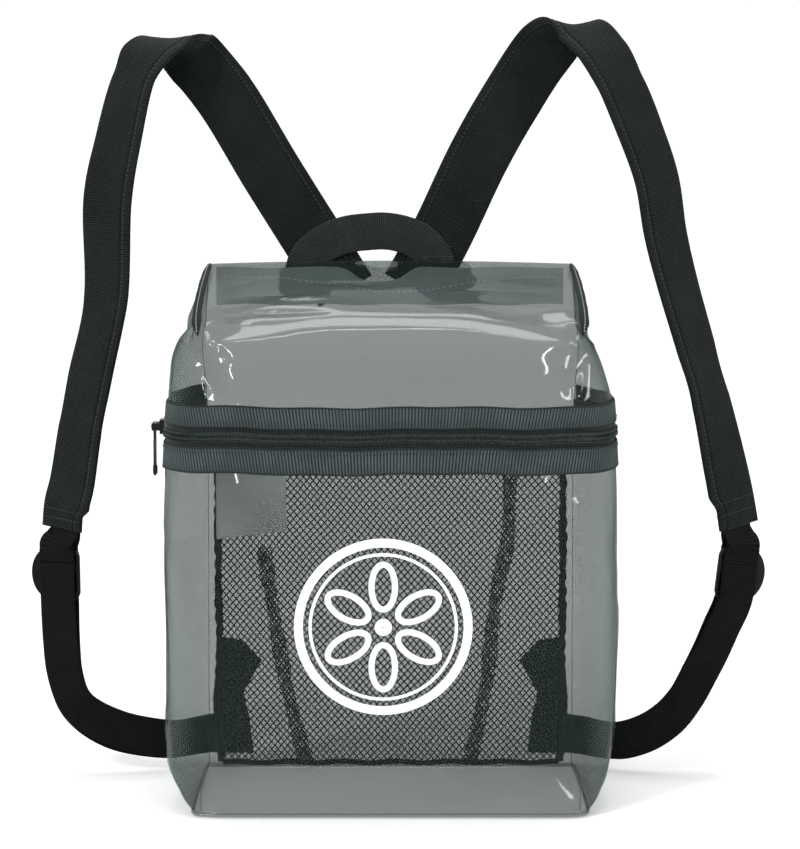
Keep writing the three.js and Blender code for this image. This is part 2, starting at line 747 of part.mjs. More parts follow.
// A ribbon that runs along its stations, round a bar at the first and back again. barHalf is half the
// height of the bar.
function doubledRibbon(stations, barHalf) {
  const directions = stations.map((_, i) => ribbonDirections(stations, i));
  const layer = (side) =>
    stations.map((station, i) => ({
      place: station.place.clone().addScaledVector(directions[i].normal, side * layerReach),
      across: station.across,
    }));
  const turnSteps = 8;
  const squareness = 0.6;
  const turnReach = barHalf + gap + webbingThickness / 2 + turnSlack;
  const { tangent, normal } = directions[0];
  const turn = Array.from({ length: turnSteps - 1 }, (_, k) => {
    const angle = (Math.PI * (k + 1)) / turnSteps;
    const outward = Math.sign(Math.cos(angle)) * Math.abs(Math.cos(angle)) ** squareness;
    const place = stations[0].place
      .clone()
      .addScaledVector(normal, layerReach * outward)
      .addScaledVector(tangent, -turnReach * Math.sin(angle) ** squareness);
    return { place, across: stations[0].across };
  });
  return ribbonBody([...layer(1).reverse(), ...turn, ...layer(-1)], webbingWidth, webbingThickness);
}

// The right side mirrors what the functions above make on the left.
function onSide(geometry, side) {
  if (side < 0) return geometry;
  const position = geometry.attributes.position;
  const points = Array.from({ length: position.count }, (_, i) => {
    const p = new THREE.Vector3().fromBufferAttribute(position, i);
    p.x = -p.x;
    return p;
  });
  const index = geometry.index.array;
  const faces = Array.from({ length: index.length / 3 }, (_, f) => [...index.slice(3 * f, 3 * f + 3)]);
  return closedBody(points, faces);
}

const strapSegments = 38;
const webbingSegments = 28;
const layerReach = buckleThickness / 2 + gap + webbingThickness / 2 + layerSlack;
const patchFar = backFar + gap + anchorThickness;
const handleFar = backFar + gap + handleThickness;
const strapSeat = handleFar + gap + strapThickness / 2;
const webbingSeat = patchFar + gap + webbingThickness / 2 + layerReach;
const topBarRise = buckleMiddleBar / 2 + buckleTopSlot + buckleTopBar / 2;

function shoulderStrap(route, side) {
  return onSide(ribbonBody(routeStations(route, strapSegments, strapSeat), strapWidth, strapThickness), side);
}

function lowerWebbing(route, side) {
  const stations = routeStations(route, webbingSegments, webbingSeat);
  return onSide(doubledRibbon(stations, buckleMiddleBar / 2), side);
}

// The slider's own directions: across it, and up along the webbing that leaves its middle bar.
function buckleFrame(route) {
  const [first, second] = routeStations(route, webbingSegments, webbingSeat);
  const up = first.place.clone().sub(second.place).normalize();
  const across = first.across.clone().addScaledVector(up, -first.across.dot(up)).normalize();
  return { centre: first.place, up, across, normal: across.clone().cross(up) };
}

// The short webbing loop that holds the slider's top bar to the end of the strap pad.
function strapTail(strapRoute, webbingRoute, side) {
  const { centre, up, across } = buckleFrame(webbingRoute);
  const bar = centre.clone().addScaledVector(up, topBarRise);
  const padStations = routeStations(strapRoute, strapSegments, strapSeat);
  const padEnd = padStations[padStations.length - 1].place.clone();
  const fall = bar.clone().sub(padEnd).normalize();
  padEnd.addScaledVector(fall, tailSeat);
  const clearOfBar = bar.clone().addScaledVector(up, buckleTopBar);
  const bend = padEnd.clone().lerp(clearOfBar, tailBend);
  const places = [bar, bar.clone().lerp(clearOfBar, 0.5), clearOfBar, bend, padEnd];
  const stations = places.map((place) => ({ place, across }));
  return onSide(doubledRibbon(stations, buckleTopBar / 2), side);
}

function roundedRectangle(left, right, bottom, top, radius) {
  const shape = new THREE.Shape();
  shape.moveTo(left + radius, bottom);
  shape.lineTo(right - radius, bottom);
  shape.absarc(right - radius, bottom + radius, radius, -Math.PI / 2, 0, false);
  shape.lineTo(right, top - radius);
  shape.absarc(right - radius, top - radius, radius, 0, Math.PI / 2, false);
  shape.lineTo(left + radius, top);
  shape.absarc(left + radius, top - radius, radius, Math.PI / 2, Math.PI, false);
  shape.lineTo(left, bottom + radius);
  shape.absarc(left + radius, bottom + radius, radius, Math.PI, 1.5 * Math.PI, false);
  return shape;
}

// A strap slider on the left side, standing at the end of the webbing route.
function strapSlider(route, side) {
  const { centre, up, across, normal } = buckleFrame(route);
  const slotHalf = webbingWidth / 2 + webbingPlay;
  const slotTop = buckleMiddleBar / 2 + buckleTopSlot;
  const slotBottom = -buckleMiddleBar / 2 - buckleBottomSlot;
  const outline = roundedRectangle(
    -slotHalf - buckleOuterRim,
    slotHalf + buckleInnerRim,
    slotBottom - buckleBottomBar,
    slotTop + buckleTopBar,
    buckleCorner,
  );
  const slot = (bottom, top) =>
    new THREE.Path([
      new THREE.Vector2(-slotHalf, bottom),
      new THREE.Vector2(-slotHalf, top),
      new THREE.Vector2(slotHalf, top),
      new THREE.Vector2(slotHalf, bottom),
    ]);
  outline.holes.push(slot(buckleMiddleBar / 2, slotTop));
  outline.holes.push(slot(slotBottom, -buckleMiddleBar / 2));
  const plate = new THREE.ExtrudeGeometry(outline, {
    depth: buckleThickness,
    bevelEnabled: false,
    curveSegments: 5,
  });
  plate.translate(0, 0, -buckleThickness / 2);
  const frame = new THREE.Matrix4().makeBasis(across, up, normal).setPosition(centre);
  return onSide(merged(plate.applyMatrix4(frame)), side);
}

// The carrying handle: a webbing arch with straight sewn legs, in the plane behind the back panel.
function handle() {
  const depthPlace = backFar + gap + handleThickness / 2;
  const archSteps = 16;
  const arch = Array.from({ length: archSteps + 1 }, (_, k) => {
    const angle = Math.PI - (Math.PI * k) / archSteps;
    const [cos, sin] = [Math.cos(angle), Math.sin(angle)];
    return {
      place: new THREE.Vector3(
        handleCentre + handleHalfSpan * cos,
        depthPlace,
        bodyHeight - handleDrop + handleRise * Math.max(0, sin) ** handleSquareness,
      ),
      across: new THREE.Vector3(-cos, 0, -Math.max(0, sin)).normalize(),
    };
  });
  const leg = (station) => ({
    place: station.place.clone().add(new THREE.Vector3(0, 0, -handleLeg)),
    across: station.across,
  });
  const stations = [leg(arch[0]), ...arch, leg(arch[archSteps])];
  return ribbonBody(stations, handleWidth, handleThickness);
}

// The whole bag, with its origin between the straps' crests.

const crestBack = 1.034;
const crestUp = 1.41;
const crest = new THREE.Vector3(0, crestBack * halfDepth, crestUp * bodyHeight);
const bag = new THREE.Group();
bag.position.copy(crest).negate();

function addPiece(name, geometry, colour, place = new THREE.Vector3()) {
  const mesh = new THREE.Mesh(geometry, new THREE.MeshStandardMaterial(colours[colour]));
  mesh.name = name;
  mesh.position.copy(place);
  bag.add(mesh);
  return mesh;
}

addPiece('lower_wall', lowerWall(), 'vinyl');
addPiece('hood_sheet', hoodSheet(), 'vinyl');
addPiece('floor_sheet', floorSheet(), 'vinyl');
addPiece('back_sheet', backSheet(), 'vinyl');
addPiece('zip_binding_upper', upperBinding(), 'binding');
addPiece('zip_binding_lower', lowerBinding(), 'binding');
addPiece('zip_tape', zipTape(), 'binding');
addPiece('zip_coil', zipCoil(), 'zipMetal');
const slider = addPiece('zip_slider', zipSlider(), 'zipMetal', new THREE.Vector3(zipSide, 0, zipHeight));
slider.rotation.z = Math.PI;
addPiece('zip_pull', zipPull(), 'zipMetal', pinPlace);
addPiece('mesh_lining', meshLining(), 'lining');
addPiece('blank_label', label(), 'label');
addPiece('top_band', topBand(), 'binding');
addPiece('handle', handle(), 'webbing');

const sides = [
  { name: 'left', side: -1, strap: leftStrapRoute, webbing: leftWebbingRoute },
  { name: 'right', side: 1, strap: rightStrapRoute, webbing: rightWebbingRoute },
];
for (const { name, side, strap, webbing } of sides) {
  addPiece(`seam_tape_${name}`, seamTape(side), 'binding');
  addPiece(`corner_patch_${name}`, anchorPatch(side), 'webbing');
  addPiece(`shoulder_strap_${name}`, shoulderStrap(strap, side), 'webbing');
  addPiece(`strap_tail_${name}`, strapTail(strap, webbing, side), 'webbing');
  addPiece(`strap_slider_${name}`, strapSlider(webbing, side), 'plastic');
  addPiece(`lower_webbing_${name}`, lowerWebbing(webbing, side), 'webbing');
}

export default bag;
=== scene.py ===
"""Portrait of the see-through vinyl backpack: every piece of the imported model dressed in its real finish."""

import math

import bmesh
import bpy
import numpy as np
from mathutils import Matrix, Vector


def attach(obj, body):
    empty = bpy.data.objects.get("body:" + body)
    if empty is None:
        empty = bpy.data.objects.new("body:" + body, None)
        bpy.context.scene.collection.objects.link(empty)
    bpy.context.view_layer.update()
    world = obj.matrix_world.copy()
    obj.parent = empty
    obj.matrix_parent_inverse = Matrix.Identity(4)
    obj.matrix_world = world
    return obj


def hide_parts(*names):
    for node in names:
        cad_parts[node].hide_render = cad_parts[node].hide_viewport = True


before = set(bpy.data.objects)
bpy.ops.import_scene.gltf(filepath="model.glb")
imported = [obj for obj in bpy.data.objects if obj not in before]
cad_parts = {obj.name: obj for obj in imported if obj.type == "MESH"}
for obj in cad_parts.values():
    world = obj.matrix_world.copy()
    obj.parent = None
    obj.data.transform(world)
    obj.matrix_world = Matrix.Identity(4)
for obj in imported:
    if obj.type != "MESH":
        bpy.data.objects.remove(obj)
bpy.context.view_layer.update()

# Sizes in millimetres, in the bag's own frame: x across, -y front, z up from the underside of the floor.
CREST = np.array([0.0, 61.006, 430.05])
BODY_HEIGHT, BODY_HALF_WIDTH, HALF_DEPTH = 305.0, 129.0, 59.0
GAP, VINYL, FLOOR_WALL = 0.3, 0.8, 1.6
WALL_FOOT = FLOOR_WALL + GAP
ZIP_HEIGHT, ZIP_OPENING, BINDING_LAP = 214.5, 11.0, 4.0
UPPER_LINE, LOWER_LINE = ZIP_HEIGHT + ZIP_OPENING / 2, ZIP_HEIGHT - ZIP_OPENING / 2
UPPER_BINDING, LOWER_BINDING, BINDING_THICK = 12.0, 14.0, 1.2
COIL_HEIGHT = 5.6
BACK_SOLID, PATCH_THICK = 1.2, 1.5
BACK_NEAR = HALF_DEPTH + GAP
BACK_FAR = BACK_NEAR + BACK_SOLID
PATCH_FAR = BACK_FAR + GAP + PATCH_THICK
LINING_FAR = HALF_DEPTH - GAP
LINING_HALF, LINING_TOP, LINING_FOOT = 0.806 * BODY_HALF_WIDTH, 0.603 * BODY_HEIGHT, 2.2
LINING_STAND, HEM_STAND = 0.6, 0.9
PLEAT_DEPTH, PLEAT_WIDTH = 2.4, 7.0
STRAP_WIDTH, STRAP_THICK, STRAP_CLOTH = 36.5, 4.4, 3.4
WEBBING_WIDTH, WEBBING_THICK = 22.0, 1.5
WEBBING_SEEN = WEBBING_WIDTH + 0.9
HANDLE_WIDTH, HANDLE_THICK = 22.0, 1.6
BUCKLE_THICK, BUCKLE_MIDDLE, BUCKLE_TOP, BUCKLE_BOTTOM = 3.0, 4.0, 4.5, 4.5
TOP_SLOT, BOTTOM_SLOT, OUTER_RIM, INNER_RIM = 7.0, 12.0, 6.3, 1.8
LAYER_REACH = BUCKLE_THICK / 2 + GAP + WEBBING_THICK / 2 + 0.1
STRAP_SEAT = BACK_FAR + GAP + HANDLE_THICK + GAP + STRAP_THICK / 2
WEBBING_SEAT = PATCH_FAR + GAP + WEBBING_THICK / 2 + LAYER_REACH
SLOT_PLAY, TURN_PLAY = 0.6, 0.5

# Fineness of the meshes.
SIDE_STEPS, FRONT_STEPS, WALL_STEPS, HOOD_ROWS = 44, 72, 92, 100
STRAP_STEPS, WEBBING_STEPS, TAIL_STEPS, HANDLE_STEPS = 220, 120, 24, 110

# Body sections from the floor to the back top edge: up, crown, half, edge, front, mid, square.
BODY_ROWS = np.array([
    (0, 0, 0.862, 0.85, -1, -0.1, 18),
    (0.03, 0, 0.925, 0.85, -1.04, 0, 9),
    (0.09, 0, 0.978, 0.85, -1.07, 0, 5.2),
    (0.3, 0, 1, 0.848, -1.1, 0, 4.2),
    (0.55, 0, 1, 0.845, -1.09, 0, 4.2),
    (0.7, 0, 0.984, 0.85, -1.07, 0, 4.2),
    (0.76, 0, 0.972, 0.853, -1.05, 0, 4.4),
    (0.825, 0, 0.935, 0.866, -1.02, 0, 5),
    (0.875, 0.012, 0.897, 0.862, -0.95, 0.02, 7),
    (0.921, 0.038, 0.862, 0.852, -0.76, 0.1, 22),
    (0.954, 0.03, 0.855, 0.845, -0.34, 0.3, 45),
    (0.981, 0.017, 0.848, 0.84, 0.34, 0.65, 60),
    (1.003, 0.006, 0.836, 0.832, 0.985, 0.992, 60),
])
ROW_SCALE = np.array([
    BODY_HEIGHT - WALL_FOOT, BODY_HEIGHT, BODY_HALF_WIDTH, BODY_HALF_WIDTH, HALF_DEPTH, HALF_DEPTH, 1,
])
LAST_ROW = len(BODY_ROWS) - 1

# Creases pressed into the front: x, up, to x, to up, depth, reach.
PRESSED = [
    (-0.85, 0.88, -0.76, 0.79, 0.022, 0.07),
    (0.85, 0.88, 0.78, 0.79, 0.022, 0.07),
    (-0.98, 0.5, -0.86, 0.33, 0.018, 0.07),
    (0.97, 0.4, 0.82, 0.52, 0.014, 0.08),
    (-0.8, 0.02, -0.68, 0.08, 0.018, 0.06),
    (0.84, 0.03, 0.7, 0.1, 0.018, 0.06),
    (-0.35, 0.04, 0.4, 0.06, 0.01, 0.1),
]

# Routes of the straps and the lower webbing: out, back (None where sewn down), up, turn, tilt.
LEFT_STRAP = [
    (0.207, None, 0.942, 0, 0), (0.288, None, 0.998, 0, 0), (0.543, 1.14, 1.17, 0, 0),
    (0.767, 1.2, 1.325, 0, 0), (0.915, 1.23, 1.398, -4, 0), (0.998, 1.034, 1.4246, 4, 0),
    (1.093, 0.814, 1.403, 25, 0), (1.155, 0.746, 1.353, 44, 0), (1.229, 0.763, 1.236, 40, 0),
    (1.281, 0.78, 1.125, 36, 0), (1.296, 0.797, 0.931, 42, 0), (1.376, 0.814, 0.774, 42, 0),
    (1.423, 0.814, 0.675, 42, 0), (1.462, 0.814, 0.574, 40, 0), (1.487, 0.814, 0.53, 39, 0),
    (1.497, 0.814, 0.482, 38, 0),
]
RIGHT_STRAP = [
    (0.098, None, 0.947, 0, 0), (0.229, None, 1.0475, 0, 0), (0.403, 1.14, 1.202, 0, 0),
    (0.543, 1.2, 1.306, 0, 0), (0.713, 1.23, 1.413, -4, 0), (0.829, 1.034, 1.451, 6, 0),
    (0.946, 0.814, 1.41, 26, 0), (1.035, 0.746, 1.344, 38, 0), (1.129, 0.763, 1.252, 40, 0),
    (1.205, 0.78, 1.161, 42, 0), (1.248, 0.78, 1.056, 44, 0), (1.302, 0.797, 0.967, 46, 0),
    (1.395, 0.814, 0.836, 48, 0), (1.465, 0.814, 0.734, 48, 0), (1.53, 0.814, 0.616, 42, 0),
    (1.562, 0.814, 0.553, 40, 0), (1.588, 0.814, 0.487, 38, 0),
]
LEFT_WEBBING = [
    (1.527, 0.814, 0.403, 20, 0), (1.525, 0.814, 0.341, 20, 0), (1.518, 0.814, 0.262, 20, 0),
    (1.502, 0.83, 0.197, 18, 10), (1.457, 0.83, 0.143, 15, 30), (1.388, 0.847, 0.113, 10, 50),
    (1.279, 0.847, 0.0885, 0, 72), (1.163, 0.864, 0.074, 0, 82), (1.008, 0.95, 0.062, 0, 88),
    (0.905, 1.085, 0.062, 0, 90), (0.806, None, 0.066, 0, 90), (0.698, None, 0.069, 0, 90),
]
RIGHT_WEBBING = [
    (1.601, 0.814, 0.403, 20, 8), (1.58, 0.814, 0.341, 20, 8), (1.527, 0.814, 0.289, 20, 14),
    (1.481, 0.83, 0.243, 18, 18), (1.426, 0.83, 0.197, 15, 26), (1.364, 0.847, 0.1475, 12, 38),
    (1.287, 0.847, 0.108, 6, 56), (1.186, 0.847, 0.079, 0, 72), (1.07, 0.88, 0.062, 0, 84),
    (0.985, 0.97, 0.0595, 0, 88), (0.905, 1.085, 0.061, 0, 90), (0.806, None, 0.064, 0, 90),
    (0.698, None, 0.067, 0, 90),
]


# Shapes.

def metres(points):
    """Bag millimetres as metres in the row frame."""
    return (np.asarray(points, float) - CREST) / 1000


def smooth(value, low, high):
    t = np.clip((value - low) / (high - low), 0, 1)
    return t * t * (3 - 2 * t)


def unit(vectors):
    return vectors / np.maximum(np.linalg.norm(vectors, axis=-1, keepdims=True), 1e-12)


def evenly(line, segments):
    """Points at even distances along a line of points."""
    lengths = np.concatenate([[0], np.cumsum(np.linalg.norm(np.diff(line, axis=0), axis=1))])
    wanted = np.linspace(0, lengths[-1], segments + 1)
    return np.stack([np.interp(wanted, lengths, line[:, k]) for k in range(line.shape[1])], axis=1)


def body_row(place):
    """One row of the body table at a place between its rows, in millimetres."""
    i = min(int(place), LAST_ROW - 1)
    t = place - i
    a, b, c, d = (BODY_ROWS[min(max(k, 0), LAST_ROW)] for k in (i - 1, i, i + 1, i + 2))
    rise, fall = 0.5 * (c - a), 0.5 * (d - b)
    row = b + t * (rise + t * (3 * c - 3 * b - 2 * rise - fall + t * (2 * b - 2 * c + rise + fall)))
    row = row * ROW_SCALE
    row[0] += WALL_FOOT
    return row


def place_at(height):
    low, high = 0.0, float(LAST_ROW)
    for _ in range(40):
        middle = (low + high) / 2
        low, high = (middle, high) if body_row(middle)[0] < height else (low, middle)
    return (low + high) / 2


def pressed_in(x, z):
    """How far the large creases press the front in."""
    total = np.zeros_like(x)
    for x0, up0, x1, up1, depth, reach in PRESSED:
        start = np.array([x0 * BODY_HALF_WIDTH, up0 * BODY_HEIGHT])
        way = np.array([x1 * BODY_HALF_WIDTH, up1 * BODY_HEIGHT]) - start
        t = np.clip(((x - start[0]) * way[0] + (z - start[1]) * way[1]) / (way @ way), 0, 1)
        off = np.hypot(x - start[0] - t * way[0], z - start[1] - t * way[1]) / (reach * 2 * HALF_DEPTH)
        total += depth * 2 * HALF_DEPTH * np.exp(-3 * off * off)
    return total


def body_ring(place):
    """One row of points round the body, from the left back edge over the front to the right back edge."""
    height, crown, half, edge, front, mid, square = body_row(place)
    share = np.linspace(1, 0, 49)[:-1]
    side = np.stack([half - (half - edge) * share ** 2, mid + (HALF_DEPTH - mid) * share], axis=1)

    def corner(start, stop):
        angle = np.radians(np.linspace(start, stop, 60))
        return np.stack([
            half * np.cos(angle) ** (2 / square),
            mid - (mid - front) * np.sin(angle) ** (2 / square),
        ], axis=1)

    side = evenly(np.concatenate([side, corner(0, 45)]), SIDE_STEPS)
    nose = corner(45, 90)
    nose[-1, 0] = 0
    nose = evenly(nose, FRONT_STEPS)
    plan = np.concatenate([side, nose[1:]])
    low = height - crown
    lift = height - crown * np.minimum(1, (plan[:, 0] / side[-1, 0]) ** 2)
    z = np.where(np.arange(len(plan)) <= SIDE_STEPS, low, lift)
    right = np.column_stack([plan, z])
    ring = np.concatenate([right * (-1, 1, 1), right[:-1][::-1]])
    inward = pressed_in(ring[:, 0], ring[:, 2]) * smooth(-ring[:, 1], 0, HALF_DEPTH / 2)
    ring[:, 0] *= 1 - 0.3 * inward / BODY_HALF_WIDTH
    ring[:, 1] += inward
    return ring


def body_band(low, high, segments):
    return np.array([body_ring(place_at(h)) for h in np.linspace(low, high, segments + 1)])


def grid_normals(grid):
    return unit(np.cross(np.gradient(grid, axis=1), np.gradient(grid, axis=0)))


def round_and_up(grid, foot):
    """Each grid point's distance round the body from the front middle, and up the sheet from its foot."""
    steps = np.linalg.norm(np.diff(grid, axis=1), axis=2)
    around = np.concatenate([np.zeros((len(grid), 1)), np.cumsum(steps, axis=1)], axis=1)
    around -= around[:, [grid.shape[1] // 2]]
    climbs = np.linalg.norm(np.diff(grid, axis=0), axis=2)
    up = foot + np.concatenate([np.zeros((1, grid.shape[1])), np.cumsum(climbs, axis=0)])
    return around, up


def shell(grid, near, far):
    """A closed sheet that follows a grid, from one distance off it to another, with its UV in millimetres."""
    normals = grid_normals(grid)
    rows, columns = grid.shape[:2]
    around, up = round_and_up(grid, 0)
    count = rows * columns
    points = np.concatenate([(grid + normals * far).reshape(-1, 3), (grid + normals * near).reshape(-1, 3)])
    ids = np.arange(count).reshape(rows, columns)
    outer = np.stack([ids[:-1, :-1], ids[:-1, 1:], ids[1:, 1:], ids[1:, :-1]], axis=-1).reshape(-1, 4)
    inner = outer[:, ::-1] + count

    def rim(line):
        a, b = line[:-1], line[1:]
        return np.stack([b, a, a + count, b + count], axis=1)

    rims = [rim(ids[0]), rim(ids[-1][::-1]), rim(ids[::-1, 0]), rim(ids[:, -1])]
    faces = np.concatenate([outer, inner, *rims])
    uv = np.tile(np.column_stack([around.ravel(), up.ravel()]), (2, 1))
    return points, faces, uv


def fold_over(around, up, folds):
    """Height of small folds on a sheet: around, up, to around, to up, height, width."""
    total = np.zeros_like(around)
    for s0, v0, s1, v1, height, width in folds:
        ds, dv = s1 - s0, v1 - v0
        length = math.hypot(ds, dv)
        t = ((around - s0) * ds + (up - v0) * dv) / length ** 2
        off = np.abs((around - s0) * dv - (up - v0) * ds) / length
        ends = smooth(t, -0.08, 0.3) * (1 - smooth(t, 0.6, 1.1))
        total += height * np.exp(-off / width) * ends
    return total


def slack(around, up, size):
    """The soft waves of a large loose sheet of vinyl."""
    return size * (
        0.5 * np.sin(around / 23 + up / 41) + 0.35 * np.sin(around / 37 - up / 19 + 1.3)
        + 0.3 * np.sin(around / 13 + up / 29 + 0.4) + 0.2 * np.sin(up / 11 - around / 31 + 2.2)
    )


def catmull_rom(points, count):
    """count + 1 points along a centripetal curve through points, evenly in its own measure."""
    points = np.asarray(points, float)
    last = len(points) - 1
    result = []
    for k in range(count + 1):
        spot = last * k / count
        i = min(int(spot), last - 1)
        t = spot - i
        p1, p2 = points[i], points[i + 1]
        p0 = points[i - 1] if i > 0 else 2 * points[0] - points[1]
        p3 = points[i + 2] if i + 2 <= last else 2 * points[last] - points[last - 1]
        d0, d1, d2 = (float(((b - a) ** 2).sum()) ** 0.25 for a, b in ((p0, p1), (p1, p2), (p2, p3)))
        d1 = d1 if d1 > 1e-4 else 1.0
        d0 = d0 if d0 > 1e-4 else d1
        d2 = d2 if d2 > 1e-4 else d1
        m1 = ((p1 - p0) / d0 - (p2 - p0) / (d0 + d1) + (p2 - p1) / d1) * d1
        m2 = ((p2 - p1) / d1 - (p3 - p1) / (d1 + d2) + (p3 - p2) / d2) * d1
        result.append(p1 + t * (m1 + t * (3 * (p2 - p1) - 2 * m1 - m2 + t * (2 * (p1 - p2) + m1 + m2))))
    return np.array(result)


def route(rows, segments, seat):
    """Places and across directions along a route on the left side."""
    places = [(-out * BODY_HALF_WIDTH, seat if back is None else back * HALF_DEPTH, up * BODY_HEIGHT)
              for out, back, up, _, _ in rows]
    leans = []
    for _, _, _, turn, tilt in rows:
        turn, tilt = math.radians(turn), math.radians(tilt)
        leans.append((math.cos(tilt) * math.cos(turn), -math.cos(tilt) * math.sin(turn), math.sin(tilt)))
    return catmull_rom(places, segments), unit(catmull_rom(leans, segments))


def directions(places, leans):
    """Tangents, across directions and normals along a ribbon."""
    tangents = np.empty_like(places)
    tangents[1:-1] = places[2:] - places[:-2]
    tangents[0], tangents[-1] = places[1] - places[0], places[-1] - places[-2]
    tangents = unit(tangents)
    across = unit(leans - tangents * (leans * tangents).sum(1, keepdims=True))
    return tangents, across, np.cross(tangents, across)


def flat_section(width, thickness, spans, groove=None):
    """Section of a woven strap: rounded edges, flat faces, and a groove where its hem is turned in."""
    edge = min(thickness / 2, 0.9)
    flat = np.linspace(-width / 2 + edge, width / 2 - edge, spans + 1)
    if groove is not None:
        near = np.array([-1.1, -0.5, 0, 0.4, 1.0]) + groove
        flat = np.sort(np.concatenate([flat[np.abs(flat - groove) > 1.3], near]))
    top = np.full(len(flat), thickness / 2)
    if groove is not None:
        top = top - 0.75 * np.exp(-((flat - groove) / 0.45) ** 2) - 0.35 * (flat > groove)
    turn = np.linspace(90, -90, 7)[1:-1]
    arc = np.stack([np.cos(np.radians(turn)) * edge, np.sin(np.radians(turn))], axis=1)
    right = np.stack([width / 2 - edge + arc[:, 0], arc[:, 1] * top[-1]], axis=1)
    left = np.stack([-width / 2 + edge - arc[::-1, 0], arc[::-1, 1] * top[0]], axis=1)
    upper = np.stack([flat, top], axis=1)
    lower = np.stack([flat[::-1], -top[::-1]], axis=1)
    return np.concatenate([upper, right, lower, left])


def ribbon(places, leans, section, widths=None, sag=None):
    """A closed strap: its section swept along places, with its UV in millimetres."""
    _, across, normals = directions(places, leans)
    count, around = len(places), len(section)
    widths = np.ones(count) if widths is None else widths
    offset = section[None, :, 0] * widths[:, None]
    if sag is not None:
        offset = offset + sag[:, None]
    rings = (places[:, None] + across[:, None] * offset[:, :, None]
             + normals[:, None] * section[None, :, 1, None])
    ids = np.arange(count * around).reshape(count, around)
    after = np.roll(ids, -1, axis=1)
    sides = np.stack([ids[:-1], ids[1:], after[1:], after[:-1]], axis=-1).reshape(-1, 4)
    faces = [tuple(face) for face in sides] + [tuple(ids[0]), tuple(ids[-1][::-1])]
    along = np.concatenate([[0], np.cumsum(np.linalg.norm(np.diff(places, axis=0), axis=1))])
    uv = np.stack(np.broadcast_arrays(section[None, :, 0], along[:, None]), axis=-1)
    return rings.reshape(-1, 3), faces, uv.reshape(-1, 2)


def plate(outline, near, far):
    """A flat upright plate with an outline in x and z, from one y to another."""
    outline = np.asarray(outline, float)
    count = len(outline)
    points = np.concatenate([np.insert(outline, 1, near, axis=1), np.insert(outline, 1, far, axis=1)])
    faces = [tuple(range(count)), tuple(range(2 * count - 1, count - 1, -1))]
    faces += [(k, k + count, (k + 1) % count + count, (k + 1) % count) for k in range(count)]
    return points, faces, points[:, [0, 2]]


def on_side(points, side):
    """Points of the left side, or their mirror image on the right."""
    return points if side < 0 else points * (-1, 1, 1)


# Finishes.

class Nodes:
    """A node tree while it is laid out, with short ways to add to it."""

    def __init__(self, tree):
        self.tree = tree

    def add(self, kind, **values):
        node = self.tree.nodes.new(kind)
        for key, value in values.items():
            if hasattr(node, key):
                setattr(node, key, value)
            else:
                self.feed(node.inputs[key.replace("_", " ")], value)
        return node

    def feed(self, socket, value):
        if isinstance(value, bpy.types.NodeSocket):
            self.tree.links.new(value, socket)
        else:
            socket.default_value = value

    def sum(self, operation, *values):
        node = self.add("ShaderNodeMath", operation=operation)
        for socket, value in zip(node.inputs, values):
            self.feed(socket, value)
        return node.outputs[0]

    def spread(self, value, start, stop, low, high, form="LINEAR"):
        """The stretch of a value from start to stop as one from low to high."""
        return self.add("ShaderNodeMapRange", interpolation_type=form, Value=value, From_Min=start,
                        From_Max=stop, To_Min=low, To_Max=high).outputs[0]


class Finish(Nodes):
    """A material while it is mixed: its shader and what colours, smooths and raises it."""

    def __init__(self, name, colour, roughness, **shader):
        self.material = bpy.data.materials.new(name)
        self.material.use_nodes = True
        super().__init__(self.material.node_tree)
        self.shader = self.tree.nodes["Principled BSDF"]
        self.shader.inputs["Base Color"].default_value = (*colour, 1)
        self.shader.inputs["Roughness"].default_value = roughness
        for socket, value in shader.items():
            self.shader.inputs[socket.replace("_", " ")].default_value = value
        self.heights = []

    def place(self):
        """Where a point is in the bag's frame, in metres."""
        return self.add("ShaderNodeTexCoord").outputs["Object"]

    def cloth_place(self):
        """Millimetres across and along the piece."""
        split = self.add("ShaderNodeSeparateXYZ", Vector=self.add("ShaderNodeUVMap", uv_map="cloth").outputs[0])
        return split.outputs[0], split.outputs[1]

    def noise(self, scale, detail=2.0, rough=0.5):
        return self.add("ShaderNodeTexNoise", Scale=scale, Detail=detail, Roughness=rough,
                        Vector=self.place()).outputs["Fac"]

    def ripple(self, value, pitch):
        """A wave from 0 to 1 every pitch."""
        wave = self.sum("SINE", self.sum("MULTIPLY", value, 2 * math.pi / pitch))
        return self.sum("MULTIPLY_ADD", wave, 0.5, 0.5)

    def tint(self, factor, *stops):
        """Colours the piece from factor by its stops: (place, colour)."""
        ramp = self.add("ShaderNodeValToRGB", Fac=factor)
        elements = ramp.color_ramp.elements
        while len(elements) < len(stops):
            elements.new(0.5)
        for element, (spot, colour) in zip(elements, stops):
            element.position, element.color = spot, (*colour, 1)
        self.feed(self.shader.inputs["Base Color"], ramp.outputs["Color"])

    def shine(self, factor, low, high):
        """Roughness from low to high, as factor goes from 0 to 1."""
        self.feed(self.shader.inputs["Roughness"], self.spread(factor, 0.0, 1.0, low, high))

    def raise_by(self, height, distance):
        """Bumps of that distance, in metres, one over the other."""
        bump = self.add("ShaderNodeBump", Height=height, Distance=distance, Strength=1.0)
        if self.heights:
            self.feed(bump.inputs["Normal"], self.heights[-1].outputs[0])
        self.heights.append(bump)
        self.feed(self.shader.inputs["Normal"], bump.outputs[0])


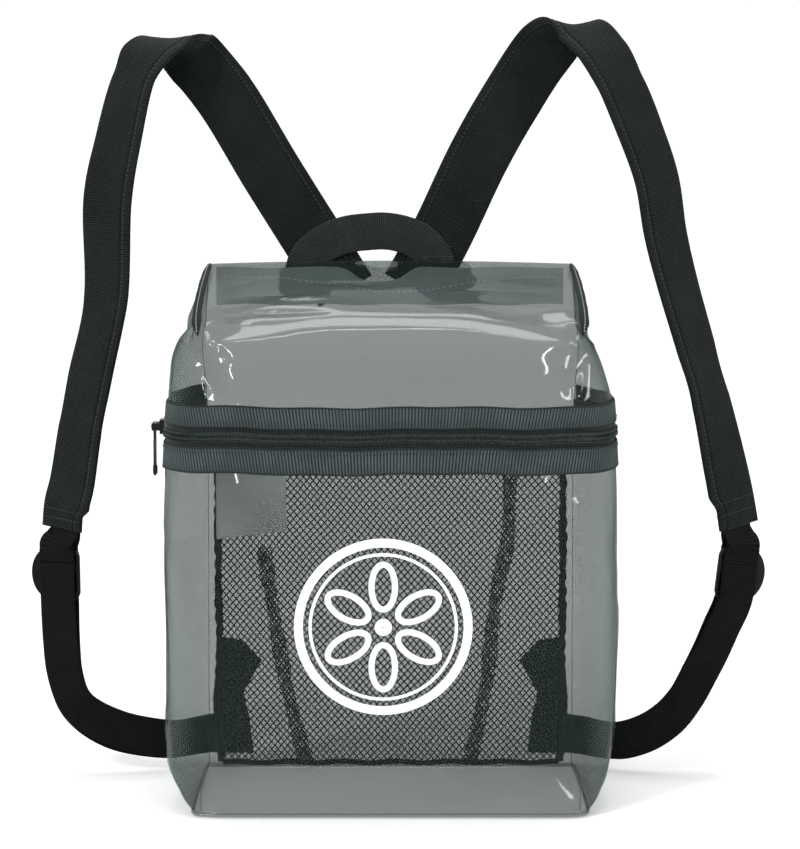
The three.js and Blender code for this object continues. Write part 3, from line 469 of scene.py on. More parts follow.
def smoke_vinyl(name="smoke_vinyl", alpha=0.28, density=235, waves=1.0):
    """Clear vinyl with a smoke tint: glossy, with a painted reflection veil that lightens its colour on the
    sides, and darker the longer the way through it.
    """
    finish = Finish(name, (0.03, 0.045, 0.042), 0.06, Alpha=alpha, IOR=2.2)
    slow = finish.noise(9.0, 1.0, 0.4)
    across = finish.sum("ABSOLUTE", finish.add("ShaderNodeSeparateXYZ", Vector=finish.place()).outputs[0])
    # Painted reflection: the base colour is painted lighter on the bag's sides, standing in for the veil of
    # reflection there; the slow noise only adds a random tone.
    side = finish.spread(across, 0.108, 0.126, 0.0, 1.0)
    painted_side_reflection_and_tone = finish.sum("MULTIPLY_ADD", side, 0.6, finish.sum("MULTIPLY", slow, 0.5))
    finish.tint(painted_side_reflection_and_tone, (0.15, (0.026, 0.04, 0.037)), (0.35, (0.034, 0.05, 0.047)), (0.95, (0.2, 0.235, 0.228)))
    finish.shine(finish.noise(70.0, 3.0), 0.04, 0.09)
    finish.raise_by(slow, 0.012 * waves)
    finish.raise_by(finish.noise(38.0, 1.0, 0.4), 0.0005 * waves)
    smoke = finish.add("ShaderNodeVolumeAbsorption", Color=(0.28, 0.37, 0.35, 1), Density=density)
    finish.feed(finish.tree.nodes["Material Output"].inputs["Volume"], smoke.outputs["Volume"])
    return finish.material


def ribbed_cloth(name, dark, light, rib, thread, depth=0.00035, sheen=0.25):
    """Narrow fabric with ribs across it and a fine thread along it."""
    finish = Finish(name, light, 0.8, Sheen_Weight=sheen, Sheen_Roughness=0.45, Specular_IOR_Level=0.12)
    across, along = finish.cloth_place()
    ribs = finish.ripple(along, rib)
    threads = finish.ripple(across, thread)
    weave = finish.sum("MULTIPLY", ribs, finish.sum("MULTIPLY_ADD", threads, 0.6, 0.4))
    cloud = finish.noise(55.0, 3.0, 0.6)
    finish.tint(finish.sum("ADD", finish.sum("MULTIPLY", weave, 0.65), finish.sum("MULTIPLY", cloud, 0.35)),
                (0.15, dark), (0.75, light))
    finish.shine(weave, 0.9, 0.68)
    finish.raise_by(cloud, 0.0006)
    finish.raise_by(weave, depth)
    return finish.material


def plain_weave(name, dark, light, pitch, depth=0.0003):
    """Webbing in plain weave: threads over and under each other, a little uneven."""
    finish = Finish(name, light, 0.82, Sheen_Weight=0.08, Sheen_Roughness=0.5, Specular_IOR_Level=0.12)
    across, along = finish.cloth_place()
    over = finish.sum("MULTIPLY", finish.sum("SINE", finish.sum("MULTIPLY", across, math.pi / pitch)),
                      finish.sum("SINE", finish.sum("MULTIPLY", along, math.pi / pitch)))
    weave = finish.sum("MULTIPLY_ADD", over, 0.5, 0.5)
    cloud = finish.noise(60.0, 3.0, 0.6)
    finish.tint(finish.sum("ADD", finish.sum("MULTIPLY", weave, 0.6), finish.sum("MULTIPLY", cloud, 0.4)),
                (0.2, dark), (0.8, light))
    finish.raise_by(cloud, 0.0005)
    finish.raise_by(weave, depth)
    return finish.material


def spun_thread(name, dark, light):
    """Thread seen close: a tight twist and a little fluff."""
    finish = Finish(name, light, 0.7, Sheen_Weight=0.15)
    fuzz = finish.noise(2600.0, 2.0)
    finish.tint(fuzz, (0.35, dark), (0.65, light))
    finish.raise_by(fuzz, 0.00006)
    return finish.material


def black_enamel():
    """Stamped zip metal under black enamel, worn a little on its high places."""
    finish = Finish("black_enamel", (0.02, 0.021, 0.022), 0.32,
                    Metallic=0.35, Coat_Weight=0.5, Coat_Roughness=0.2)
    wear = finish.noise(900.0, 3.0, 0.6)
    finish.tint(wear, (0.45, (0.015, 0.016, 0.017)), (0.75, (0.05, 0.054, 0.055)))
    finish.shine(wear, 0.25, 0.45)
    finish.raise_by(finish.noise(350.0, 2.0), 0.00008)
    return finish.material


def coil_plastic():
    finish = Finish("coil_plastic", (0.02, 0.028, 0.027), 0.35)
    speckle = finish.noise(700.0, 2.0)
    finish.tint(speckle, (0.3, (0.009, 0.014, 0.0135)), (0.7, (0.035, 0.052, 0.05)))
    finish.shine(speckle, 0.28, 0.42)
    return finish.material


def moulded_plastic():
    """Black moulded nylon with the fine grain of its mould."""
    finish = Finish("moulded_plastic", (0.006, 0.0065, 0.007), 0.42)
    grain = finish.noise(1500.0, 2.0)
    finish.tint(finish.noise(40.0), (0.3, (0.004, 0.0045, 0.005)), (0.7, (0.011, 0.012, 0.013)))
    finish.shine(grain, 0.34, 0.5)
    finish.raise_by(grain, 0.00004)
    return finish.material


def satin_label():
    finish = Finish("satin_label", (0.8, 0.84, 0.83), 0.5, Sheen_Weight=0.2)
    across, along = finish.cloth_place()
    weave = finish.sum("MULTIPLY", finish.ripple(across, 0.5), finish.ripple(along, 0.35))
    finish.tint(finish.noise(30.0), (0.3, (0.76, 0.8, 0.79)), (0.7, (0.84, 0.88, 0.87)))
    finish.raise_by(finish.noise(45.0, 1.0), 0.002)
    finish.raise_by(weave, 0.0001)
    return finish.material


def screen_ink():
    """White ink laid on by a screen: a little uneven, satin, with tiny pinholes."""
    finish = Finish("screen_ink", (0.9, 0.9, 0.89), 0.38)
    mesh = finish.noise(900.0, 2.0)
    finish.tint(mesh, (0.25, (0.8, 0.81, 0.8)), (0.45, (0.93, 0.93, 0.92)))
    finish.shine(mesh, 0.3, 0.48)
    finish.raise_by(mesh, 0.00003)
    return finish.material


def studio_paper():
    finish = Finish("studio_paper", (0.93, 0.93, 0.93), 0.9, Specular_IOR_Level=0.1, Emission_Strength=0.2)
    finish.shader.inputs["Emission Color"].default_value = (1, 1, 1, 1)
    finish.tint(finish.noise(1.2), (0.3, (0.92, 0.92, 0.92)), (0.7, (0.94, 0.94, 0.94)))
    return finish.material


VINYL_FINISH = smoke_vinyl()
VINYL_FLOOR = smoke_vinyl("smoke_vinyl_floor", 0.07, 5)
VINYL_EDGE = smoke_vinyl("smoke_vinyl_edge", 0.25, 150, 0.3)
BINDING = ribbed_cloth("slate_binding", (0.022, 0.031, 0.031), (0.13, 0.168, 0.166), 1.2, 0.75, 0.0003, 0.1)
BINDING_GROUND = plain_weave("binding_ground", (0.008, 0.012, 0.012), (0.03, 0.04, 0.04), 0.6)
SEAM_TAPE = ribbed_cloth("seam_tape", (0.006, 0.009, 0.009), (0.03, 0.041, 0.041), 1.2, 0.8, 0.0003, 0.05)
STRAP = ribbed_cloth("strap_webbing", (0.003, 0.004, 0.0038), (0.019, 0.026, 0.025), 1.35, 1.1, 0.0004, 0.08)
HANDLE = ribbed_cloth("handle_webbing", (0.008, 0.011, 0.01), (0.042, 0.052, 0.049), 1.1, 1.2, 0.00025, 0.08)
WEBBING = ribbed_cloth("lower_webbing", (0.002, 0.0025, 0.0023), (0.011, 0.0125, 0.0115), 1.2, 1.3, 0.0003, 0.04)
BAND = plain_weave("band_cloth", (0.34, 0.41, 0.4), (0.49, 0.57, 0.56), 0.8, 0.0001)
PATCH = plain_weave("patch_cloth", (0.004, 0.005, 0.005), (0.014, 0.017, 0.017), 0.9)
ZIP_TAPE = ribbed_cloth("zip_tape", (0.008, 0.011, 0.011), (0.035, 0.044, 0.044), 0.8, 0.8, 0.0002)
NET = spun_thread("net_thread", (0.004, 0.006, 0.006), (0.014, 0.019, 0.018))
HEM_CLOTH = plain_weave("net_hem", (0.004, 0.006, 0.006), (0.014, 0.018, 0.017), 0.6)
DARK_THREAD = spun_thread("dark_thread", (0.01, 0.013, 0.013), (0.045, 0.055, 0.055))
LIGHT_THREAD = spun_thread("light_thread", (0.62, 0.66, 0.65), (0.9, 0.93, 0.92))
ENAMEL = black_enamel()
COIL = coil_plastic()
MOULDED = moulded_plastic()
LABEL = satin_label()
INK = screen_ink()


# Making pieces.

def linked(name, data):
    """A new object in the scene, at the origin."""
    thing = bpy.data.objects.new(name, data)
    bpy.context.scene.collection.objects.link(thing)
    return thing


def dressed(name, mesh, finish):
    """A mesh as a smooth object in its finish."""
    mesh.polygons.foreach_set("use_smooth", [True] * len(mesh.polygons))
    mesh.materials.append(finish)
    return linked(name, mesh)


def piece(name, form, finish, node=None, side=-1):
    """A finished object from its points in bag millimetres, faces and UV, in place of its CAD node."""
    points, faces, uv = form
    faces = [tuple(face) if side < 0 else tuple(face)[::-1] for face in faces]
    mesh = bpy.data.meshes.new(name)
    mesh.from_pydata(metres(on_side(points, side)).tolist(), [], faces)
    if uv is not None:
        layer = mesh.uv_layers.new(name="cloth")
        corners = np.empty(len(mesh.loops), dtype=np.int32)
        mesh.loops.foreach_get("vertex_index", corners)
        layer.data.foreach_set("uv", np.asarray(uv, np.float32)[corners].ravel())
    return settle(dressed(name, mesh, finish), "bag", node)


def settle(thing, body, node):
    """Rides a piece on its body, in place of the CAD node that it stands for."""
    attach(thing, body)
    if node:
        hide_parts(node)
    return thing


def sharpen(thing, angle=35):
    """Keeps the edges of a hard or flat piece crisp."""
    thing.data.set_sharp_from_angle(angle=math.radians(angle))
    return thing


def rounding(thing, width, segments, angle):
    """Rounds the edges that turn by more than an angle."""
    bevel = thing.modifiers.new("rounding", "BEVEL")
    bevel.width, bevel.segments = width / 1000, segments
    bevel.limit_method, bevel.angle_limit = "ANGLE", math.radians(angle)


class Rule(Nodes):
    """A geometry rule while it is laid out, with its named inputs."""

    def __init__(self, name):
        super().__init__(bpy.data.node_groups.new(name, "GeometryNodeTree"))
        self.face = self.tree.interface
        self.face.new_socket("Geometry", in_out="OUTPUT", socket_type="NodeSocketGeometry")
        self.start = self.add("NodeGroupInput")
        self.end = self.add("NodeGroupOutput")

    def named(self, name, kind):
        self.face.new_socket(name, in_out="INPUT", socket_type="NodeSocket" + kind)
        return self.start.outputs[name]

    def attribute(self, name):
        node = self.add("GeometryNodeInputNamedAttribute", data_type="FLOAT_VECTOR")
        node.inputs["Name"].default_value = name
        return node.outputs["Attribute"]

    def finish(self, geometry, material):
        real = self.add("GeometryNodeRealizeInstances", Geometry=geometry).outputs["Geometry"]
        painted = self.add("GeometryNodeSetMaterial", Geometry=real, Material=material).outputs["Geometry"]
        self.feed(self.end.inputs["Geometry"], painted)
        return self.tree


def repeat_rule(name, bar):
    """The same small shape at every pitch along a path: a rounded stitch or tooth, or a straight rib."""
    rule = Rule(name)
    path = rule.named("Path", "Geometry")
    pitch, length = rule.named("Pitch", "Float"), rule.named("Length", "Float")
    width, height = rule.named("Width", "Float"), rule.named("Height", "Float")
    sides, material = rule.named("Sides", "Int"), rule.named("Material", "Material")
    curve = rule.add("GeometryNodeMeshToCurve", Mesh=path).outputs["Curve"]
    spots = rule.add("GeometryNodeResampleCurve", mode="LENGTH", Curve=curve, Length=pitch).outputs["Curve"]
    if bar:
        shape = rule.add("GeometryNodeMeshCylinder", Vertices=sides, Radius=1.0, Depth=2.0).outputs["Mesh"]
    else:
        shape = rule.add("GeometryNodeMeshUVSphere", Segments=sides, Rings=4, Radius=1.0).outputs["Mesh"]
    smoothed = rule.add("GeometryNodeSetShadeSmooth", Geometry=shape).outputs["Geometry"]
    first = rule.add("FunctionNodeAlignRotationToVector", axis="Z", Vector=rule.attribute("lie")).outputs[0]
    turned = rule.add("FunctionNodeAlignRotationToVector", axis="X", pivot_axis="Z", Rotation=first,
                      Vector=rule.attribute("out")).outputs[0]
    size = rule.add("ShaderNodeCombineXYZ", X=height, Y=width, Z=length).outputs[0]
    placed = rule.add("GeometryNodeInstanceOnPoints", Points=spots, Instance=smoothed, Rotation=turned,
                      Scale=size).outputs["Instances"]
    return rule.finish(placed, material)


def strand_rule():
    """A round thread along every line of a wire."""
    rule = Rule("thread_along_lines")
    lines = rule.named("Lines", "Geometry")
    radius, sides = rule.named("Radius", "Float"), rule.named("Sides", "Int")
    material = rule.named("Material", "Material")
    curve = rule.add("GeometryNodeMeshToCurve", Mesh=lines).outputs["Curve"]
    ring = rule.add("GeometryNodeCurvePrimitiveCircle", Resolution=sides, Radius=radius).outputs["Curve"]
    tube = rule.add("GeometryNodeCurveToMesh", Curve=curve, Profile_Curve=ring, Fill_Caps=True).outputs["Mesh"]
    smoothed = rule.add("GeometryNodeSetShadeSmooth", Geometry=tube).outputs["Geometry"]
    return rule.finish(smoothed, material)


STITCH_RULE = repeat_rule("stitches_along_path", bar=False)
RIB_RULE = repeat_rule("ribs_along_path", bar=True)
STRAND_RULE = strand_rule()


def wire(name, lines, lie=None, out=None):
    """Lines of points as a wire mesh, with the way each repeated shape lies and faces."""
    points = np.concatenate(lines)
    edges, start = [], 0
    for line in lines:
        edges += [(start + k, start + k + 1) for k in range(len(line) - 1)]
        start += len(line)
    mesh = bpy.data.meshes.new(name)
    mesh.from_pydata(metres(points).tolist(), edges, [])
    for label, values in (("lie", lie), ("out", out)):
        if values is not None:
            store = mesh.attributes.new(label, "FLOAT_VECTOR", "POINT")
            store.data.foreach_set("vector", np.concatenate(values).astype(np.float32).ravel())
    return linked(name, mesh)


def grown(thing, rule, slot, node=None, **inputs):
    """Runs a rule on a wire and keeps the result as a plain mesh."""
    modifier = thing.modifiers.new("rule", "NODES")
    modifier.node_group = rule
    for socket in rule.interface.items_tree:
        if socket.item_type == "SOCKET" and socket.in_out == "INPUT" and socket.name in inputs:
            modifier[socket.identifier] = inputs[socket.name]
    seen = bpy.context.evaluated_depsgraph_get()
    mesh = bpy.data.meshes.new_from_object(thing.evaluated_get(seen))
    mesh.name = thing.name
    thing.modifiers.remove(modifier)
    thing.data = mesh
    return settle(thing, "bag", node)


def stitches(name, lines, outs, finish, pitch, length, thick, slot):
    """Rows of stitches: each lies along its line, half sunk in the cloth."""
    lies = [unit(np.gradient(line, axis=0)) for line in lines]
    outs = [np.broadcast_to(out, line.shape) for line, out in zip(lines, outs)]
    grown(wire(name, lines, lies, outs), STITCH_RULE, slot, Pitch=pitch / 1000, Length=length / 2000,
          Width=thick / 2000, Height=thick / 2400, Sides=6, Material=finish)


def threads(name, lines, radius, sides, finish, slot, node=None):
    """Round threads along lines."""
    return grown(wire(name, lines), STRAND_RULE, slot, node, Radius=radius, Sides=sides, Material=finish)


# The vinyl body.

def lower_wall():
    grid = body_band(WALL_FOOT, LOWER_LINE - BINDING_LAP, WALL_STEPS)
    around, up = round_and_up(grid, WALL_FOOT)
    free = smooth(up, 4, 30) * (1 - smooth(up, 188, 200))
    folds = [
        (-124, 150, -104, 98, -1.8, 2.4), (-120, 146, -112, 96, 1.5, 1.6), (-133, 96, -108, 60, -1.3, 2.6),
        (-118, 128, -106, 108, 1.2, 1.2), (-139, 128, -131, 84, 1.4, 1.8), (134, 92, 118, 60, 1.2, 2.0),
        (-120, 70, -98, 36, 1.0, 4.0), (128, 120, 104, 150, -1.2, 3.6), (124, 160, 108, 128, 0.9, 3.0),
        (112, 52, 88, 30, 1.0, 4.0), (-96, 8, -70, 30, 1.3, 3.4), (-60, 6, -20, 20, 0.9, 4.5),
        (20, 18, 70, 7, 0.9, 4.5), (92, 8, 74, 36, -1.2, 3.4), (-84, 150, -74, 128, 0.7, 2.2),
        (68, 150, 60, 172, 0.7, 2.2), (150, 180, 138, 90, 0.9, 7.0), (-150, 170, -140, 60, -0.9, 7.0),
        (-170, 20, -140, 70, 1.0, 5.0), (168, 16, 142, 66, 1.0, 5.0), (-75, 190, -79, 172, 0.8, 1.0),
        (-67, 167, -54, 173, 0.8, 1.8), (69, 190, 65, 178, 0.8, 1.2), (96, 186, 108, 172, 1.0, 2.0),
        (141, 150, 136, 60, 1.4, 3.0), (127, 190, 133, 140, -1.2, 2.4), (-146, 60, -140, 10, 1.6, 3.0),
        (146, 70, 139, 12, -1.6, 3.0), (-112, 6, -98, 26, 1.6, 1.6), (-104, 4, -72, 14, 1.2, 1.8),
        (112, 6, 98, 28, 1.6, 1.6), (104, 4, 80, 18, 1.4, 1.6), (108, 14, 92, 12, 1.2, 1.4),
    ]
    lift = (slack(around, up, 0.9) + fold_over(around, up, folds)) * free
    lift *= 1 - smooth(np.abs(around), 188, 200)
    grid = grid + grid_normals(grid) * lift[:, :, None]
    piece("vinyl_lower_wall", shell(grid, -VINYL, 0), VINYL_FINISH, "lower_wall")
    return grid


def hood():
    places = np.linspace(place_at(UPPER_LINE + BINDING_LAP), LAST_ROW, HOOD_ROWS)
    grid = np.array([body_ring(p) for p in places])
    around, up = round_and_up(grid, UPPER_LINE + BINDING_LAP)
    free = smooth(up, 234, 250) * (1 - smooth(up, 372, 386))
    folds = [
        (-108, 290, -90, 256, -0.7, 3.2), (-106, 291, -72, 279, 0.6, 3.2), (-104, 292, -98, 262, 0.5, 2.6),
        (106, 290, 96, 260, -0.7, 3.2), (104, 304, 74, 292, 1.1, 5.0), (-100, 300, -30, 292, -1.3, 3.4),
        (-96, 318, -20, 308, 1.2, 4.0), (10, 298, 92, 306, -1.1, 3.6), (24, 320, 98, 330, 1.2, 4.0),
        (-60, 342, 10, 334, -1.0, 4.0), (-98, 336, -70, 352, 1.0, 3.0), (60, 350, 100, 340, -1.0, 3.0),
    ]
    lift = (slack(around, up, 0.8) + fold_over(around, up, folds)) * free
    corner_away = np.minimum(1, np.abs(np.abs(grid[:, :, 0]) - 108) / 8)
    lift *= np.clip(corner_away, np.where(up > 280, 0.15, 0.4), 1) * (1 - smooth(np.abs(around), 185, 200))
    share = np.arange(SIDE_STEPS + 1) / SIDE_STEPS
    across_side = smooth(share, 0, 0.25) * smooth(1 - share, 0.09, 0.28)
    belly = np.concatenate([across_side, np.zeros(2 * FRONT_STEPS - 1), -0.3 * across_side[::-1]])
    lift += 4.5 * belly * smooth(up, 226, 262) * (1 - smooth(up, 288, 306))
    grid = grid + grid_normals(grid) * lift[:, :, None]
    piece("vinyl_hood", shell(grid, -VINYL, 0), VINYL_FINISH, "hood_sheet")


def floor_and_back():
    outline = body_ring(0)[:, :2]
    count = len(outline)
    low = np.column_stack([outline, np.zeros(count)])
    points = np.concatenate([low, low + (0, 0, FLOOR_WALL)])
    faces = [tuple(range(count))[::-1], tuple(range(count, 2 * count))]
    faces += [(k, (k + 1) % count, (k + 1) % count + count, k + count) for k in range(count)]
    sharpen(piece("vinyl_floor", (points, faces, points[:, :2]), VINYL_FLOOR, "floor_sheet"))

    rows = [body_row(p) for p in np.linspace(0, LAST_ROW, 80)]
    right = np.array([(row[3], row[0] - row[1]) for row in rows])
    right[0, 1] = 0
    top = body_ring(LAST_ROW)[SIDE_STEPS + 1:-SIDE_STEPS - 1][:, [0, 2]][::-1]
    outline = np.concatenate([right, top, right[::-1] * (-1, 1)])
    points, faces, _ = plate(outline, BACK_NEAR, BACK_NEAR + VINYL)
    sharpen(piece("vinyl_back", (points, faces, None), VINYL_FINISH, "back_sheet"))


def welded_edges():
    """The rolled weld round the floor, and the stitches along the floor's sides."""
    ring = body_ring(0)
    ring[:, 2] = WALL_FOOT - 0.2
    along = np.gradient(ring, axis=0)
    bead = ring + 0.5 * unit(np.stack([along[:, 1], -along[:, 0], np.zeros(len(ring))], axis=1))
    threads("floor_weld", [np.concatenate([bead, bead[:1]])], 0.0011, 10, VINYL_EDGE, "vinyl")
    lines = []
    for side in (-1, 1):
        y = np.linspace(-50, 55, 60)
        x = side * np.interp(y, [-59, 0, 59], [106, 110.6, 109])
        lines.append(np.column_stack([x, y, np.full(60, FLOOR_WALL + 0.1)]))
    stitches("floor_stitches", lines, [(0, 0, 1)] * 2, DARK_THREAD, 3.0, 1.9, 0.6, "vinyl")


# The zip and its bindings.

def waved(grid):
    """A band whose cloth isn't quite level: a little up and down as it goes round."""
    around, _ = round_and_up(grid, 0)
    rise = 0.45 * np.sin(around / 19) + 0.3 * np.sin(around / 7.3 + 1)
    return grid + unit(np.gradient(grid, axis=0)) * rise[:, :, None]


def wrap_piece(name, low, high, near, far, finish, node):
    points, faces, uv = shell(waved(body_band(low, high, 6)), near, far)
    sharpen(piece(name, (points, faces, uv[:, ::-1]), finish, node), 60)


def wrap_line(height, stand):
    """A line round the body at a height, standing off it, with its outward and upward directions."""
    band = waved(body_band(height - 1, height + 1, 2))
    normals = grid_normals(band)[1]
    upward = unit(band[2] - band[0])
    return band[1] + normals * stand, normals, upward


def binding(name, low, high, node):
    """A binding tape: its ground, its ribs, a little slanted, and its two rolled edges."""
    thick = GAP + BINDING_THICK
    wrap_piece(name, low, high, GAP, thick - 0.35, BINDING_GROUND, node)
    middle, outs, ups = wrap_line((low + high) / 2, thick - 0.5)
    slant = 0.22 * np.sin(np.linspace(-2.6, 2.6, len(middle)))[:, None] * unit(np.gradient(middle, axis=0))
    grown(wire(name + "_ribs", [middle], [ups + slant], [outs]), RIB_RULE, "binding", Pitch=0.0018,
          Length=(high - low) / 2000 - 0.0004, Width=0.00062, Height=0.00036, Sides=8, Material=BINDING)
    rolls = [wrap_line(h, thick - 0.6)[0] for h in (low + 0.3, high - 0.3)]
    threads(name + "_rolled_edges", rolls, 0.00065, 6, BINDING_GROUND, "binding")


def zip_chain():
    """The zip tape and coil, two rows of teeth, and the stitches along both bindings."""
    wrap_piece("zip_tape_cloth", LOWER_LINE - BINDING_LAP + GAP, UPPER_LINE + BINDING_LAP - GAP, -1.2, 0,
               ZIP_TAPE, "zip_tape")
    wrap_piece("zip_coil_cord", ZIP_HEIGHT - COIL_HEIGHT / 2, ZIP_HEIGHT + COIL_HEIGHT / 2, GAP, GAP + 0.7,
               COIL, "zip_coil")
    lines, outs, lies = zip(*[wrap_line(ZIP_HEIGHT + offset, GAP + 1.15) for offset in (-1.3, 1.3)])
    grown(wire("zip_teeth", lines, lies, outs), STITCH_RULE, "zip", Pitch=0.0013, Length=0.0011,
          Width=0.00048, Height=0.00062, Sides=8, Material=COIL)
    lines, outs, _ = zip(*[wrap_line(h, GAP + BINDING_THICK + 0.1) for h in (UPPER_LINE + 2.4, LOWER_LINE - 2.4)])
    stitches("binding_stitches", lines, outs, DARK_THREAD, 2.8, 1.9, 0.55, "binding")


def rounded_copy(name, node, width, body):
    """The CAD node's own shape with its edges rounded."""
    work = bmesh.new()
    work.from_mesh(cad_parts[node].data)
    bmesh.ops.remove_doubles(work, verts=work.verts, dist=1e-6)
    bmesh.ops.dissolve_limit(work, angle_limit=math.radians(2), verts=work.verts, edges=work.edges)
    mesh = bpy.data.meshes.new(name)
    work.to_mesh(mesh)
    work.free()
    thing = dressed(name, mesh, ENAMEL)
    rounding(thing, width, 2, 32)
    settle(sharpen(thing, 50), body, node)


# The lining, label, band and patches.

PLEATS = [
    [(-75.6, 132.0), (-71.0, 102.8), (-63.4, 54.0), (-54.5, 17.2), (-50.4, 3.0)],
    [(71.2, 181.4), (70.2, 139.2), (62.6, 102.8), (58.0, 54.0), (50.9, 17.2), (47.4, 3.0)],
]


def off_line(x, z, line):
    """Distance of points from a bent line."""
    best = np.full(np.shape(x), 1e9)
    for (x0, z0), (x1, z1) in zip(line[:-1], line[1:]):
        dx, dz = x1 - x0, z1 - z0
        t = np.clip(((x - x0) * dx + (z - z0) * dz) / (dx * dx + dz * dz), 0, 1)
        best = np.minimum(best, np.hypot(x - x0 - t * dx, z - z0 - t * dz))
    return best


def lining_y(x, z):
    """The net hangs just in front of the back, raised along its pleats."""
    raised = np.max([PLEAT_DEPTH * np.exp(-(off_line(x, z, p) / PLEAT_WIDTH) ** 2) for p in PLEATS], axis=0)
    return LINING_FAR - LINING_STAND - raised


def net_lines(cell_x, cell_z, shift_x, lift, keep, wobble):
    """Diagonal threads of a diamond net over the lining, cut where keep says so."""
    lines = []
    low, high = LINING_FOOT, LINING_TOP
    steps = int((high - low) / (cell_z / 2)) + 1
    for slope in (-1, 1):
        reach = steps * cell_x / 2
        for start in np.arange(-LINING_HALF - reach, LINING_HALF + reach, cell_x):
            k = np.arange(steps)
            x = start + shift_x + slope * k * cell_x / 2
            z = low + k * cell_z / 2
            x = x + wobble * np.sin(z / 9 + x / 14) + 0.12 * np.sin(x * 3.1 + z * 2.3)
            inside = (np.abs(x) <= LINING_HALF) & (z <= high) & keep(x, z)
            points = np.column_stack([x, lining_y(x, z) - lift, z])
            for run in np.split(np.arange(steps), np.where(np.diff(inside.astype(int)) != 0)[0] + 1):
                if len(run) > 1 and inside[run[0]]:
                    lines.append(points[run])
    return lines


def net_lining():
    """The net with its pleats folded double, and the hems that hold it on both sides and at its foot."""
    def everywhere(x, z):
        return np.ones_like(x, bool)

    def near_pleat(x, z):
        return np.min([off_line(x, z, p) for p in PLEATS], axis=0) < 4.6 + 0.5 * np.sin(z / 9)

    whole = net_lines(4.0, 4.6, 0, 0, everywhere, 0.5)
    net = threads("net_lining", whole, 0.0004, 4, NET, "lining", "mesh_lining")
    folded = net_lines(2.7, 4.3, 0.9, 0.7, near_pleat, 0.2) + net_lines(2.3, 3.2, 0.2, -0.3, near_pleat, 0.3)
    with_net = [threads("net_pleats", folded, 0.0003, 4, NET, "lining")]
    for name, points in (
        ("left", [(-103.6, 183), (-103.4, 150), (-103.5, 120), (-103.0, 80), (-103.4, 40), (-102.4, 4)]),
        ("right", [(103.2, 183), (103.6, 130), (103.4, 60), (102.6, 4)]),
    ):
        x, z = evenly(np.array(points, float), 120).T
        wave = 0.3 * np.sin(z / 6.3) + 0.5 * np.sin(z / 1.7 + 1)
        hem = np.column_stack([x * (1 - 0.004) + wave * 0.5, np.full(121, LINING_FAR - HEM_STAND), z])
        widths = 1 + 0.12 * np.sin(z / 7.0) + 0.16 * np.sin(z / 1.3)
        form = ribbon(hem, np.array([1.0, 0, 0]), flat_section(4.4, 1.0, 6), widths)
        with_net.append(piece("net_hem_" + name, form, HEM_CLOTH))
    wave = 0.5 * np.sin(np.arange(80) / 2.0)
    foot = np.column_stack([np.linspace(-101, 101, 80), np.full(80, LINING_FAR - 0.8), 3.4 + wave])
    form = ribbon(foot, np.array([0, 0, 1.0]), flat_section(3.2, 1.0, 6))
    with_net.append(piece("net_hem_foot", form, HEM_CLOTH))


def blank_label():
    """The label sewn to the net at its left edge, a little curled."""
    left, top, width, height = -LINING_HALF, LINING_TOP - 3, 42.0, 40.0
    x = left + width * np.linspace(0, 1, 25)
    z = top - height * np.linspace(1, 0, 25)
    gx, gz = np.meshgrid(x, z)
    share = (gx - left) / width
    gz = gz + (6.0 * share - 1.5) * (1 - (gz - z[0]) / height) * 0.9
    near = LINING_FAR - 1.2 - GAP - 0.5
    curl = 0.5 * np.sin(share * 4.0 + gz / 15) + 0.35 * np.sin(gz / 6)
    grid = np.stack([gx, near - 0.4 - np.abs(curl), gz], axis=-1)
    label = piece("blank_label_cloth", shell(grid, -0.35, 0), LABEL, "blank_label")


def top_band():
    x = np.linspace(-103, 102, 120)
    dip = 8.0 * np.exp(-((x + 6) / 17) ** 4)
    tops = 302 - dip + 0.4 * np.sin(x / 9)
    feet = 280 + 0.5 * np.sin(x / 7 + 1)
    rows = np.linspace(0, 1, 9)[:, None]
    z = feet + (tops - feet) * rows
    y = HALF_DEPTH - 0.5 + 0.25 * np.sin(x / 5 + z / 8)
    grid = np.stack([np.broadcast_to(x, z.shape), y, z], axis=-1)
    sharpen(piece("top_band_cloth", shell(grid, 0, 0.6), BAND, "top_band"), 60)
    sag = 296.5 - 9 * np.exp(-((x - 4) / 46) ** 2) + 0.3 * np.sin(x / 6)
    line = np.column_stack([x[3:-3], np.full(114, HALF_DEPTH - 1.35), np.minimum(sag, tops - 2.5)[3:-3]])
    stitches("top_band_stitches", [line], [(0, -1, 0)], LIGHT_THREAD, 3.4, 2.0, 1.0, "binding")


def seam_tapes():
    """The stitched tapes over the two seams of the hood's top."""
    share = np.linspace(0, 1, 50)
    ends = smooth(share, 0, 0.2) * (1 - 0.6 * smooth(share, 0.9, 1))
    widths = 0.15 + 0.85 * ends * (1 + 0.06 * np.sin(share * 35))
    stand = GAP + 0.5 + 0.6
    for side, name in ((-1, "left"), (1, "right")):
        seats = []
        for p in np.linspace(9, LAST_ROW - 0.22, 50):
            row = body_row(p)
            corner = body_ring(p)[-1 - SIDE_STEPS]
            seats.append((side * (corner[0] - 0.8), corner[1], row[0] - row[1]))
        seats = np.array(seats)
        tangents = unit(np.gradient(seats, axis=0))
        outs = unit(np.column_stack([np.zeros(50), -tangents[:, 2], tangents[:, 1]])) + (0.7 * side, 0, 0)
        outs = unit(outs - tangents * (outs * tangents).sum(1, keepdims=True))
        form = ribbon(seats + outs * stand, np.cross(outs, tangents), flat_section(6.5, 1.2, 8), widths)
        piece("seam_tape_cloth_" + name, form, SEAM_TAPE, "seam_tape_" + name)
        line = (seats + outs * (stand + 0.62))[3:]
        stitches("seam_stitches_" + name, [line], [outs[3:]], LIGHT_THREAD, 2.6, 1.5, 0.5, "binding")


